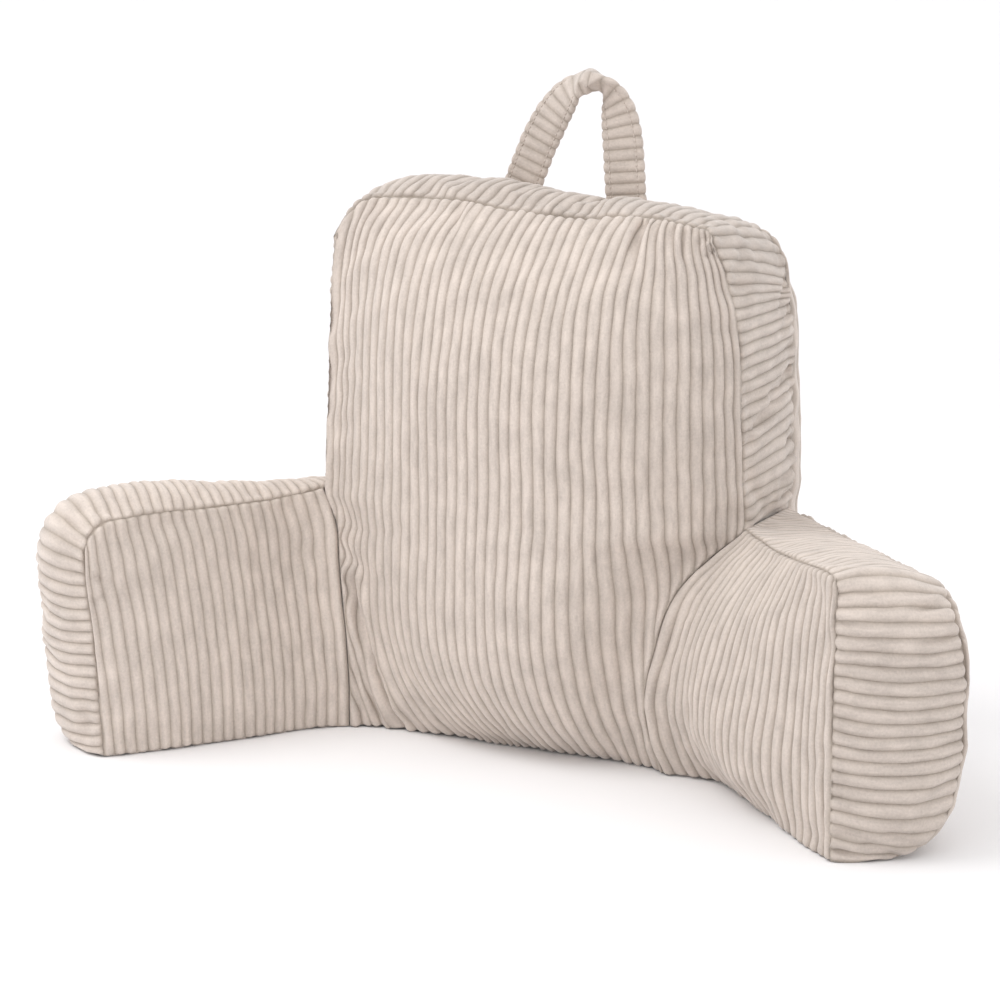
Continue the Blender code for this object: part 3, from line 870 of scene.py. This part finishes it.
def build_arm(name, seed):
    arm, cushion = ARMS[name], new_cloth()
    start, forward, inward = arm_lines(arm)
    centre = np.array([*(start + forward * 0.1 - inward * 0.045), 0.1])
    wale, t = wale_columns(arm["wales"]), rows_along(ARM_HEIGHT)
    grid = evened(arm["inner"], wale / arm["wales"], t, JOIN_GAP / 2)
    joined = clamp(1 - length_along(grid, 1) / JOIN_FADE)
    grid = worked(grid, centre, seed, arm["folds"], flat=(1, 2))
    left = arm["full"] * brushed(grid[..., [1, 2]], arm["brushed"])
    # The inner panel's colour is scaled by its painted light and shade.
    inner = lay(cushion, grid, wale, tall=left, pinch=1 - joined, slack=0.5, lie=arm["lie"][0])
    wales = round(arm["outer_length"] / PITCH)
    wale = wale_columns(wales)
    grid = evened(arm["outer"], wale / wales, t, SEAM_GAP)
    outer = lay(cushion, worked(grid, centre, seed + 10), wale, slack=0.5)
    strip = arm_strip(arm, cushion, centre, seed + 20)

    # The hidden wall, and the foot.
    rows = np.linspace(0.003, 0.997, 24)
    edge_in, edge_out = arm["inner"](0 * t, t), arm["outer"](0 * t, t)
    grid = edge_in + (edge_out - edge_in) * rows[:, None, None]
    within = clamp(np.minimum(rows, 1 - rows) / 0.06)[:, None] * clamp((1 - t) / 0.06)
    grid[..., 0] += arm["side"] * WALL_SET_BACK * within
    wall = lay(cushion, grid, np.zeros(len(t)), sunk=0.0, pinch=0.0)
    a = np.linspace(0, 1, 121)
    low, high = arm["inner"](a, 0 * a), arm["outer"](a, 0 * a)
    grid = low + (high - low) * np.clip(ARM_STRIP_ROWS, 0.006, 0.994)[:, None, None]
    foot = lay(cushion, grid, a * 12, sunk=1.0)

    sew(
        cushion, (np.concatenate([inner[:, -1], inner[-1, ::-1], wall[:, -1]]), strip[0]),
        (np.concatenate([outer[:, -1], outer[-1, ::-1]]), strip[-1]), (inner[:, 0], wall[0]),
        (outer[:, 0], wall[-1]), (inner[0], foot[0]), (outer[0], foot[-1]), (wall[:, 0], foot[:, 0]),
        (strip[:, 0], foot[:, -1]),
    )
    print(name, sum(map(len, cushion["points"])), "points")
    return cushion


sewn = {"backrest": backrest, "arm_left": build_arm("arm_left", 50), "arm_right": build_arm("arm_right", 90)}

# %% [markdown]
# The grids become one closed mesh for each cushion. Points that fall together are merged, the little holes
# where three seams meet are filled, and the faces are turned outwards. What the wales need to know is
# stored on the points as attributes: the phase, the distance to the seam, the length along the wale.

# %% From panels to a closed mesh
def put(name, data):
    """Puts an object with this data into the scene."""
    made = bpy.data.objects.new(name, data)
    bpy.context.scene.collection.objects.link(made)
    return made


def cloth_mesh(name, cushion):
    mesh = bpy.data.meshes.new(name)
    points = np.concatenate(cushion["points"]) + DRAWN_TO_FRAME
    mesh.from_pydata(points.tolist(), [], cushion["faces"])
    for key in LAYERS:
        layer = mesh.attributes.new(key, "FLOAT", "POINT")
        layer.data.foreach_set("value", np.concatenate(cushion[key]).astype(np.float32))
    work = bmesh.new()
    work.from_mesh(mesh)
    bmesh.ops.remove_doubles(work, verts=work.verts, dist=1e-5)
    bmesh.ops.dissolve_degenerate(work, edges=work.edges, dist=1e-6)
    bmesh.ops.holes_fill(work, edges=[e for e in work.edges if e.is_boundary], sides=0)
    bmesh.ops.recalc_face_normals(work, faces=work.faces)
    loose = [v for v in work.verts if not v.link_faces]
    bmesh.ops.delete(work, geom=loose, context="VERTS")
    open_edges = sum(1 for e in work.edges if len(e.link_faces) != 2)
    work.to_mesh(mesh)
    work.free()
    print(name, len(mesh.polygons), "faces, open edges:", open_edges)
    return put(name, mesh)


cushions = [cloth_mesh(name + "_cushion", cushion) for name, cushion in sewn.items()]

# %% [markdown]
# Padded fabric creases where the filling pushes it against its seams, and a cloth simulation works that
# out. Each cushion is copied as a coarse, even net. The net's cloth is cut a little too large, held at the
# seams and at the floor, and blown up by the pressure of the filling. The panels have their measured
# fullness already, so the slow part of the movement is left out, and only the creases are passed on to the
# fine cloth.

# %% Creases from a cloth simulation
# The net's squares, and how much larger its cloth is cut.
NET_SIZE = 0.006
CUT_LARGER = 0.05
PRESSURE = 4.0
FRAMES = 20
# The deepest crease that is kept, and how often the movement is averaged to find its slow part.
CREASE_CAP = 0.0035
SLOW_STEPS = 14
# Held by the simulation: what is this near to a seam, and what is this near to the floor.
HELD_SEAM, HELD_FLOOR = 0.004, 0.008
print("the net's cloth is cut", round(100 * CUT_LARGER), "% too large")

# %% Read a mesh
def read_points(mesh):
    flat = np.empty(3 * len(mesh.vertices), np.float32)
    mesh.vertices.foreach_get("co", flat)
    return flat.reshape(-1, 3).astype(float)


def read_layer(mesh, name):
    flat = np.empty(len(mesh.vertices), np.float32)
    mesh.attributes[name].data.foreach_get("value", flat)
    return flat.astype(float)


def evaluated_mesh(piece):
    graph = bpy.context.evaluated_depsgraph_get()
    done = piece.evaluated_get(graph)
    return bpy.data.meshes.new_from_object(done, preserve_all_data_layers=True, depsgraph=graph)


def finder_of(points):
    finder = KDTree(len(points))
    for i, point in enumerate(points):
        finder.insert(point, i)
    finder.balance()
    return finder


print("points on the backrest", len(read_points(cushions[0].data)))

# %% Blow the net up
def blown_up(net, held):
    """Simulates the net with its seams held, and returns how far each point moved."""
    scene = bpy.context.scene
    seams = net.vertex_groups.new(name="seams")
    seams.add(held.tolist(), 1.0, "REPLACE")
    cloth_modifier = net.modifiers.new("cloth", "CLOTH")
    settings = cloth_modifier.settings
    settings.vertex_group_mass = "seams"
    settings.use_pressure = True
    settings.uniform_pressure_force = PRESSURE
    settings.effector_weights.gravity = 0.0
    settings.shrink_min = -CUT_LARGER
    settings.bending_stiffness = 0.2
    cloth_modifier.collision_settings.use_collision = False
    cache = cloth_modifier.point_cache
    cache.frame_start, cache.frame_end = 1, FRAMES
    start = read_points(net.data)
    for frame_number in range(1, FRAMES + 1):
        scene.frame_set(frame_number)
    done = evaluated_mesh(net)
    scene.frame_set(1)
    return read_points(done) - start


def slow_part(net, moved):
    """The movement averaged with its neighbours again and again, which leaves the creases out."""
    edges = np.empty(2 * len(net.data.edges), np.int32)
    net.data.edges.foreach_get("vertices", edges)
    one, other = np.concatenate([edges.reshape(-1, 2), edges.reshape(-1, 2)[:, ::-1]]).T
    count = np.bincount(one, minlength=len(moved))[:, None]
    for _ in range(SLOW_STEPS):
        total = np.stack([np.bincount(one, moved[other, i], len(moved)) for i in range(3)], -1)
        moved = 0.5 * moved + 0.5 * total / count
    return moved


print("frames to blow up:", FRAMES)

# %% Pass the creases on
def crease(piece):
    net = put("net", piece.data.copy())
    remesh = net.modifiers.new("remesh", "REMESH")
    remesh.mode, remesh.voxel_size = "VOXEL", NET_SIZE
    net.data = evaluated_mesh(net)
    net.modifiers.clear()
    points, fine = read_points(net.data), read_points(piece.data)
    hem = read_layer(piece.data, "hem")
    finder = finder_of(fine)
    near_seam = hem[[finder.find(point)[1] for point in points]] < HELD_SEAM
    moved = blown_up(net, np.flatnonzero(near_seam | (points[:, 2] < HELD_FLOOR)))
    crisp = moved - slow_part(net, moved)
    size = np.linalg.norm(crisp, axis=1, keepdims=True)
    crisp *= CREASE_CAP / np.maximum(CREASE_CAP, size)
    # The fine cloth takes the movement of the net's six nearest points, the nearest most.
    finder = finder_of(points)
    found = [finder.find_n(point, 6) for point in fine]
    which, weight = (np.array([[hit[i] for hit in hits] for hits in found]) for i in (1, 2))
    weight = np.exp(-((weight / NET_SIZE) ** 2))
    weight /= weight.sum(1, keepdims=True)
    passed_on = (crisp[which] * weight[..., None]).sum(1)
    pinch, tall, slack = (read_layer(piece.data, name) for name in ("pinch", "tall", "slack"))
    free = (1 - np.exp(-hem / SEAM_FADE)) * pinch * clamp(fine[:, 2] / 0.01)
    free *= clamp(4 * tall) * slack
    piece.data.vertices.foreach_set("co", (fine + passed_on * free[:, None]).ravel())
    piece.data.update()
    bpy.data.objects.remove(net)
    largest, usual = size.max().round(4), np.median(size).round(5)
    print(piece.name, len(points), "points in the net, creases up to", largest, "m, usually", usual)


for piece in cushions:
    crease(piece)

# %% [markdown]
# Cotton corduroy: a woven ground with rows of cut pile, brushed soft. To the eye it is matt, a little pale
# where it turns away, because the pile catches the light. Its colour is painted darker in the grooves, as
# painted shade, and each panel carries painted light and shade of its own. The pile lies in patches, so the
# shade drifts slowly from place to place.

# %% Material helpers
def linear(hex_colour):
    """An sRGB hex colour as linear RGBA."""
    parts = [int(hex_colour[i : i + 2], 16) / 255 for i in (1, 3, 5)]
    return [p / 12.92 if p <= 0.04045 else ((p + 0.055) / 1.055) ** 2.4 for p in parts] + [1.0]


print("#808080 as a linear value:", round(linear("#808080")[0], 3))


def node(tree, kind, *sources, links=(), **settings):
    """Adds a node. `sources` fill its first inputs and `links` names others: nodes, outputs or values."""
    made = tree.nodes.new(kind)
    for key, value in settings.items():
        if hasattr(made, key):
            setattr(made, key, value)
    for key, value in settings.items():
        if not hasattr(made, key):
            made.inputs[key.replace("_", " ")].default_value = value
    for socket, source in [*enumerate(sources), *links]:
        if isinstance(source, (int, float, tuple, list)):
            made.inputs[socket].default_value = source
        else:
            tree.links.new(getattr(source, "outputs", [source])[0], made.inputs[socket])
    return made


def new_material(name):
    material = bpy.data.materials.new(name)
    material.use_nodes = True
    material.node_tree.nodes.clear()
    return material, material.node_tree

# %% Corduroy
# The crest colour, and the groove colour, which is the same cloth darkened as painted shade. The rib's height
# mixes them.
CREST, GROOVE_SHADE = linear("#CFC3BA"), linear("#ACA095")


def corduroy():
    material, tree = new_material("cotton corduroy, brushed")
    kept = (node(tree, "ShaderNodeAttribute", attribute_name=name) for name in ("nap", "lie"))
    nap, lie = (attribute.outputs["Fac"] for attribute in kept)
    along = node(tree, "ShaderNodeAttribute", attribute_name="cloth").outputs["Vector"]
    place = node(tree, "ShaderNodeTexCoord").outputs["Object"]
    # Patches of brushed pile about 25 mm across, streaks of it 3 mm wide along the wale, and single tufts.
    patches = node(tree, "ShaderNodeTexNoise", place, Scale=38.0, Detail=4.0)
    stretched = node(tree, "ShaderNodeMapping", along, Scale=(300.0, 48.0, 1.0))
    streaks = node(tree, "ShaderNodeTexNoise", stretched, Scale=1.0, Detail=3.0)
    tufts = node(tree, "ShaderNodeTexNoise", place, Scale=480.0, Detail=3.0, Roughness=0.75)
    shade = node(tree, "ShaderNodeMath", patches, streaks, operation="ADD")
    shade = node(tree, "ShaderNodeMath", shade, tufts, operation="ADD")
    shade = node(tree, "ShaderNodeMapRange", shade, From_Min=1.15, From_Max=1.85, To_Min=0.85, To_Max=1.12)
    # Painted light and shade: each panel's factor scales the colour.
    shade = node(tree, "ShaderNodeMath", shade, lie, operation="MULTIPLY")
    # Painted shade: the colour is darker in the grooves and lighter on the crests.
    mixed = node(tree, "ShaderNodeMix", nap, links=[(6, GROOVE_SHADE), (7, CREST)], data_type="RGBA")
    tinted = node(tree, "ShaderNodeVectorMath", mixed.outputs[2], links=[("Scale", shade)], operation="SCALE")
    bump = node(tree, "ShaderNodeBump", links=[("Height", tufts)], Strength=0.8, Distance=0.0007)
    surface = node(
        tree, "ShaderNodeBsdfPrincipled", tinted, links=[("Normal", bump)],
        Roughness=0.95, IOR=1.45, Sheen_Weight=0.35, Sheen_Roughness=0.45, Specular_IOR_Level=0.15,
    )
    node(tree, "ShaderNodeOutputMaterial", surface)
    return material


cloth = corduroy()
print("material:", cloth.name)

# %% [markdown]
# The wales repeat by a rule, so a Geometry Nodes tree raises them. It reads the stored phase, turns it into
# a rounded rib with a narrow groove, lets the rib die away in a rounded end at the seam, and moves each
# point along its normal. Half of the height is let into the cloth, so the cushion keeps its size.

# %% How every tree begins and ends
def new_tree(name, *numbers):
    """A tree whose named inputs are a mesh, these numbers and a material. Returns it and its inputs."""
    tree = bpy.data.node_groups.new(name, "GeometryNodeTree")
    inputs = [("Geometry", "Geometry"), *((number, "Float") for number in numbers), ("Material", "Material")]
    for label, kind in inputs:
        tree.interface.new_socket(label, in_out="INPUT", socket_type="NodeSocket" + kind)
    tree.interface.new_socket("Geometry", in_out="OUTPUT", socket_type="NodeSocketGeometry")
    return tree, {socket.name: socket for socket in node(tree, "NodeGroupInput").outputs}


def end_tree(tree, made, material):
    """Makes the result real, gives it its material and hands it out."""
    real = node(tree, "GeometryNodeRealizeInstances", made)
    finished = node(tree, "GeometryNodeSetMaterial", real, links=[("Material", material)])
    node(tree, "NodeGroupOutput", finished)
    return tree

# %% The wale tree
def wale_tree():
    numbers = "Wale height", "Roundness", "End length", "Tip length", "End swell", "Seam depth"
    tree, known = new_tree("Raise wales", *numbers)
    for name in LAYERS[:6]:
        known[name] = node(tree, "GeometryNodeInputNamedAttribute", data_type="FLOAT", Name=name)
    # No two ribs are quite as full as each other.
    place = node(tree, "GeometryNodeInputPosition")
    uneven = node(tree, "ShaderNodeTexNoise", links=[("Vector", place)], Scale=55.0, Detail=1.0)
    uneven = node(tree, "ShaderNodeMapRange", uneven, From_Min=0.3, From_Max=0.7, To_Min=0.78, To_Max=1.16)
    known["uneven"] = uneven
    # Each step is one sum: what it is called, what it does, and what goes in, by name or as a number. The
    # reach of a rib's end and the nearness of a seam are held between 0 and 1.
    for name, operation, *sources in (
        # The rib's rounded section: 0 in the groove, 1 on the crest.
        ("share", "FRACT", "wale"),
        ("centred", "MULTIPLY_ADD", "share", 2.0, -1.0),
        ("centred", "ABSOLUTE", "centred"),
        ("crest", "POWER", "centred", "Roundness"),
        ("crest", "SUBTRACT", 1.0, "crest"),
        ("crest", "MAXIMUM", "crest", 0.0),
        ("crest", "POWER", "crest", 0.75),
        # Its end: the crest runs on further towards the seam than the sides do, like a finger tip.
        ("square", "MULTIPLY", "centred", "centred"),
        ("lag", "MULTIPLY", "square", "Tip length"),
        ("left", "SUBTRACT", "hem", "lag"),
        ("reach", "DIVIDE", "left", "End length"),
        ("short", "SUBTRACT", 1.0, "reach"),
        ("short", "MULTIPLY", "short", "short"),
        ("ended", "SUBTRACT", 1.0, "short"),
        ("ended", "SQRT", "ended"),
        # The rib's height, which the material also turns into painted shade in the grooves.
        ("nap", "MULTIPLY", "crest", "ended"),
        # The filling pushes each rib up a little just before its end.
        ("past", "ADD", "hem", -0.0042),
        ("past", "DIVIDE", "past", 0.0026),
        ("past", "MULTIPLY", "past", "past"),
        ("past", "MULTIPLY", "past", -1.0),
        ("swollen", "EXPONENT", "past"),
        ("swollen", "MULTIPLY_ADD", "swollen", "End swell", 1.0),
        ("risen", "MULTIPLY", "nap", "swollen"),
        ("risen", "MULTIPLY", "risen", "uneven"),
        ("let in", "MULTIPLY", "sunk", "pinch"),
        ("height", "SUBTRACT", "risen", "let in"),
        ("height", "MULTIPLY", "height", "Wale height"),
        ("height", "MULTIPLY", "height", "tall"),
        # The stitches draw the cloth in, most of all between two ribs.
        ("near", "MULTIPLY_ADD", "hem", -500.0, 1.0),
        ("tight", "MULTIPLY_ADD", "square", 0.65, 0.35),
        ("depth", "MULTIPLY", "near", "tight"),
        ("depth", "MULTIPLY", "depth", "pinch"),
        ("depth", "MULTIPLY", "depth", "Seam depth"),
        ("height", "SUBTRACT", "height", "depth"),
        ("across", "MULTIPLY", "wale", PITCH),
    ):
        sources = [known.get(source, source) for source in sources]
        held = name in ("reach", "near")
        known[name] = node(tree, "ShaderNodeMath", *sources, operation=operation, use_clamp=held)
    normal = node(tree, "GeometryNodeInputNormal")
    move = node(tree, "ShaderNodeVectorMath", normal, links=[("Scale", known["height"])], operation="SCALE")
    # What the material reads: the rib's height, which it turns into painted shade in the grooves, and the
    # place on the cloth in metres.
    cloth_at = node(tree, "ShaderNodeCombineXYZ", known["across"], known["along"])
    kept = known["Geometry"]
    for name, kind, value in (("nap", "FLOAT", known["nap"]), ("cloth", "FLOAT_VECTOR", cloth_at)):
        kept = node(
            tree, "GeometryNodeStoreNamedAttribute", kept, links=[("Value", value)],
            data_type=kind, domain="POINT", Name=name,
        )
    moved = node(tree, "GeometryNodeSetPosition", kept, links=[("Offset", move)])
    return end_tree(tree, moved, known["Material"])


raise_wales = wale_tree()
print(raise_wales.name, len(raise_wales.nodes), "nodes")

# %% Run a tree and keep its result
def run_tree(piece, tree, **inputs):
    """Puts the tree on the piece, sets its named inputs, and keeps the result as the piece's plain mesh."""
    modifier = piece.modifiers.new(tree.name, "NODES")
    modifier.node_group = tree
    for item in tree.interface.items_tree:
        key = item.name.replace(" ", "_").lower()
        if item.item_type == "SOCKET" and item.in_out == "INPUT" and key in inputs:
            modifier[item.identifier] = inputs[key]
    made = evaluated_mesh(piece)
    piece.modifiers.remove(modifier)
    piece.data = made
    made.name = piece.name
    made.shade_smooth()
    print(piece.name, len(made.polygons), "faces")


for piece in cushions:
    run_tree(
        piece, raise_wales, wale_height=0.0021, roundness=2.05, end_length=0.0026, tip_length=0.0022,
        end_swell=0.28, seam_depth=0.0012, material=cloth,
    )

# %% [markdown]
# The strap is a folded band of the same cloth. It leans up from one foot, turns over at the top, where it
# shows its edge, and comes down the other side. Its path is the one of the solid model. The wales run
# across it and round its edges, which makes both edges look scalloped.

# %% Strap: its path
STRAP_WIDTH, STRAP_THICKNESS, STRAP_DEPTH = 0.035, 0.0072, 0.1
STRAP_FEET = (-0.055, 0.047)
# Across and up: what the strap's curve is pulled towards between its feet.
STRAP_HULL = mm((-16, 83), (-6, 107), (46, 112), (40, 72))
# The share of the strap, to either side of its middle, over which it turns over.
STRAP_TWIST = 0.42
STRAP_PITCH = 0.0096
# How far from the strap's middle line the topstitching runs.
STITCH_IN = 0.0128
# Where along the strap it is folded at the top, and how far to either side.
FOLD_AT, FOLD_REACH = 0.47, 0.085
FOOT_HEIGHT = (0.4716, 0.4655)
# Share of the strap, how far it is let into the top.
FOOT_DROP = ((0, 0.005), (0.12, 0), (0.85, 0), (1, 0.01))


def strap_line(share):
    """Middle of the strap along its loop, a Bezier curve."""
    left, right = STRAP_FEET
    hull = np.array([(left, 0.0), *STRAP_HULL, (right, 0.0)])
    order = len(hull) - 1
    share = np.asarray(share, float)[..., None]
    pulls = (math.comb(order, i) * share**i * (1 - share) ** (order - i) * hull[i] for i in range(order + 1))
    x, up = sum(pulls).T
    floor = FOOT_HEIGHT[0] + (FOOT_HEIGHT[1] - FOOT_HEIGHT[0]) * share[..., 0]
    floor = floor - level(FOOT_DROP, share[..., 0])
    return np.stack([x, np.full(len(x), STRAP_DEPTH), floor + up], -1)


print("top of the strap's curve", strap_line(np.linspace(0, 1, 101))[:, 2].max().round(4), "m high")

# %% Strap: its grid
def strap_grid():
    fine = np.linspace(0, 1, 2001)
    line = strap_line(fine)
    way = length_along(line, 0)
    wales = round(way[-1] / STRAP_PITCH)
    wale = wale_columns(wales)
    share = np.interp(wale / wales * way[-1], way, fine)
    middle = strap_line(share)
    ahead = unit(strap_line(clamp(share + 0.01)) - strap_line(clamp(share - 0.01)))
    over = np.stack([-ahead[:, 2], 0 * share, ahead[:, 0]], -1)
    turn = -math.pi / 2 * np.sin(math.pi / 2 * np.clip((share - 0.5) / STRAP_TWIST, -1, 1))
    face = over * np.cos(turn)[:, None] + np.array((0.0, -1.0, 0.0)) * np.sin(turn)[:, None]
    across = np.cross(ahead, face)
    ring = np.linspace(0, 2 * math.pi, 49)[:-1]
    wide = np.sign(np.cos(ring)) * np.abs(np.cos(ring)) ** 0.55 * STRAP_WIDTH / 2
    thick = np.sign(np.sin(ring)) * np.abs(np.sin(ring)) ** 0.7 * STRAP_THICKNESS / 2
    folded = np.exp(-(((share - FOLD_AT) / FOLD_REACH) ** 2))
    crumple = 0.0022 * folded * np.sin(ring[:, None] * 3 + share * 60) * np.abs(np.cos(ring))[:, None]
    thick = thick[:, None] * (1 + 1.5 * folded) + crumple
    wide = wide[:, None] * (1 - 0.22 * folded + 0.06 * (share > 0.5))
    # The topstitching presses the strap flat along both edges.
    pressed = np.exp(-(((np.abs(wide) - STITCH_IN) / 0.0013) ** 2)) * (1 - folded)
    points = middle + across * wide[..., None] + face * (thick * (1 - 0.22 * pressed))[..., None]
    # Hands have rubbed the faces of the strap, and the left leg's most. Its edges keep their full wales.
    flat = clamp((STRAP_WIDTH / 2 - np.abs(wide)) / 0.004)
    on_right = clamp((share - 0.42) / 0.1)
    rubbed = flat * (0.38 - 0.24 * on_right)
    lines = [
        middle + across * side * STITCH_IN + face * front * STRAP_THICKNESS * 0.44
        for side in (-1, 1) for front in (-1, 1)
    ]
    return points, wale, way[-1], (1 - rubbed) * (1 - 0.6 * pressed), on_right, lines


print("points round the strap:", len(strap_grid()[0]))

# %% Strap: build it
def build_strap():
    points, wale, length, tall, on_right, lines = strap_grid()
    strap = new_cloth()
    closed, tall = (np.concatenate([ring, ring[:1]]) for ring in (points, tall))
    # Painted shade: the strap's colour is darker, most on the left leg.
    number = lay(strap, closed, wale, tall=tall, lie=0.91 + 0.06 * on_right)
    way = wale / wale[-1] * length
    hem = np.broadcast_to(np.minimum(way, length - way), closed.shape[:2])
    strap["hem"] = [np.maximum(hem, 0.003).ravel()]
    strap["faces"] += [number[:-1, 0].tolist(), number[:-1, -1].tolist()]
    print("strap", round(length, 3), "m long with", int(wale[-1]), "wales")
    return cloth_mesh("carrying_strap", strap), lines


strap, stitch_lines = build_strap()
run_tree(
    strap, raise_wales, wale_height=0.0013, roundness=2.0, end_length=0.002, tip_length=0.0,
    end_swell=0.0, seam_depth=0.0, material=cloth,
)

# %% [markdown]
# The strap is topstitched along both edges, on both faces. A second tree walks along each line at the pitch
# of the stitches and sets one short thread at every step, turned the way the line runs.

# %% Topstitching
STITCH_PITCH, STITCH_LENGTH, THREAD = 0.0042, 0.0028, 0.00055


def thread():
    """Spun polyester thread, matched to the cloth. Its twist is too fine to show."""
    material, tree = new_material("spun polyester thread")
    place = node(tree, "ShaderNodeTexCoord").outputs["Object"]
    fibres = node(tree, "ShaderNodeTexNoise", place, Scale=900.0)
    shades = [(6, linear("#BFB3A9")), (7, linear("#CFC4BB"))]
    mixed = node(tree, "ShaderNodeMix", fibres, links=shades, data_type="RGBA")
    surface = node(tree, "ShaderNodeBsdfPrincipled", mixed.outputs[2], Roughness=0.7, Sheen_Weight=0.2)
    node(tree, "ShaderNodeOutputMaterial", surface)
    return material


stitch_thread = thread()
print("material:", stitch_thread.name)

# %% The stitch tree
def stitch_tree():
    tree, given = new_tree("Topstitching", "Stitch pitch", "Stitch length", "Thread radius")
    line = node(tree, "GeometryNodeMeshToCurve", given["Geometry"])
    pitch = [("Length", given["Stitch pitch"])]
    even = node(tree, "GeometryNodeResampleCurve", line, links=pitch, mode="LENGTH")
    ahead = node(tree, "GeometryNodeInputTangent")
    turned = node(tree, "FunctionNodeAlignRotationToVector", links=[("Vector", ahead)], axis="X")
    half = node(tree, "ShaderNodeMath", given["Stitch length"], 0.5, operation="MULTIPLY")
    size = node(tree, "ShaderNodeCombineXYZ", half, given["Thread radius"], given["Thread radius"])
    ball = node(tree, "GeometryNodeMeshIcoSphere", Radius=1.0, Subdivisions=2)
    placed = node(
        tree, "GeometryNodeInstanceOnPoints", even,
        links=[("Instance", ball), ("Rotation", turned), ("Scale", size)],
    )
    return end_tree(tree, placed, given["Material"])


def build_stitches(lines):
    mesh = bpy.data.meshes.new("strap_stitching")
    count = len(lines[0])
    points = np.concatenate(lines) + DRAWN_TO_FRAME
    edges = [(i + k * count, i + 1 + k * count) for k in range(len(lines)) for i in range(count - 1)]
    mesh.from_pydata(points.tolist(), edges, [])
    return put("strap_stitching", mesh)


stitches = build_stitches(stitch_lines)
run_tree(
    stitches, stitch_tree(), stitch_pitch=STITCH_PITCH, stitch_length=STITCH_LENGTH,
    thread_radius=THREAD, material=stitch_thread,
)

# %% [markdown]
# The camera stands in front, to the right and a little above, with a long lens. The floor runs up behind in
# one sweep. Even light from all round gives the soft shading, and one large lamp from the front left gives
# it shape.

# %% Camera
AZIMUTH, ELEVATION = 0.475, 0.175
CAMERA_PLACE = (0.84048, -1.69293, 0.55088)
LENS, SENSOR = 82.8, 36.0
camera = put("camera", bpy.data.cameras.new("camera"))
bpy.context.scene.camera = camera
camera.data.lens, camera.data.sensor_width = LENS, SENSOR
camera.location = CAMERA_PLACE
camera.rotation_euler = (math.pi / 2 - ELEVATION, 0.0, AZIMUTH)
print("camera at", tuple(round(v, 3) for v in camera.location))

# %% Floor
FLOOR_BEHIND, SWEEP_RADIUS, FLOOR_HALF = 3.0, 1.5, 8.0
# The floor lies a little below zero, so that it doesn't coincide with the underside of the cushion.
FLOOR_BELOW = 0.0004
profile = [(-6.0, 0.0), (FLOOR_BEHIND, 0.0)]
for angle in np.linspace(0.1, 1.5, 15):
    behind, up = SWEEP_RADIUS * math.sin(angle), SWEEP_RADIUS * (1 - math.cos(angle))
    profile.append((FLOOR_BEHIND + behind, up))
profile.append((FLOOR_BEHIND + SWEEP_RADIUS, 6.0))
away = np.array((-math.sin(AZIMUTH), math.cos(AZIMUTH)))
aside = np.array((away[1], -away[0]))
points = [(*(away * d + aside * w), h - FLOOR_BELOW) for d, h in profile for w in (-FLOOR_HALF, FLOOR_HALF)]
floor_mesh = bpy.data.meshes.new("floor")
floor_mesh.from_pydata(points, [], [(i, i + 1, i + 3, i + 2) for i in range(0, len(points) - 2, 2)])
floor_mesh.shade_smooth()
paper, tree = new_material("white background paper")
matt = node(tree, "ShaderNodeBsdfPrincipled", linear("#F3F2F3"), Roughness=1.0, Specular_IOR_Level=0.0)
node(tree, "ShaderNodeOutputMaterial", matt)
floor_mesh.materials.append(paper)
floor = put("floor", floor_mesh)
print("floor of", len(profile) - 1, "strips")

# %% Light
ROOM_LIGHT = 1.13
world = bpy.data.worlds.new("studio")
bpy.context.scene.world = world
world.use_nodes = True
background = world.node_tree.nodes["Background"].inputs
background["Color"].default_value = (1.0, 1.0, 1.0, 1.0)
background["Strength"].default_value = ROOM_LIGHT

LAMP_PLACE, LAMP_AIM = np.array((-1.3, -1.0, 2.6)), np.array((0.0, 0.0, 0.2))
LAMP_SIZE, LAMP_POWER = 1.6, 26.0
lamp = put("large soft lamp", bpy.data.lights.new("large soft lamp", "AREA"))
lamp.data.shape, lamp.data.size, lamp.data.energy = "DISK", LAMP_SIZE, LAMP_POWER
lamp.location = LAMP_PLACE
way = LAMP_AIM - LAMP_PLACE
lamp.rotation_euler = (math.atan2(math.hypot(way[0], way[1]), -way[2]), 0.0, math.atan2(-way[0], way[1]))
bpy.context.scene.view_settings.view_transform = "Standard"
print("lamp of", LAMP_POWER, "W, room light", ROOM_LIGHT)

# %% [markdown]
# Each piece is tied to the imported model: the part it stands for is hidden, and the piece moves with its
# body.

# %% Tie the pieces to the frame
STANDS_FOR = {
    "backrest_cushion": ("backrest", 0.8), "arm_left_cushion": ("arm_left", 0.85),
    "arm_right_cushion": ("arm_right", 0.85), "carrying_strap": ("handle", 0.3),
}
for name, (stands_for, fill) in STANDS_FOR.items():
    piece = bpy.data.objects[name]
    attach(piece, "root")
    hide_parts(stands_for)
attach(stitches, "root")
print("pieces:", ", ".join([*STANDS_FOR, stitches.name]))
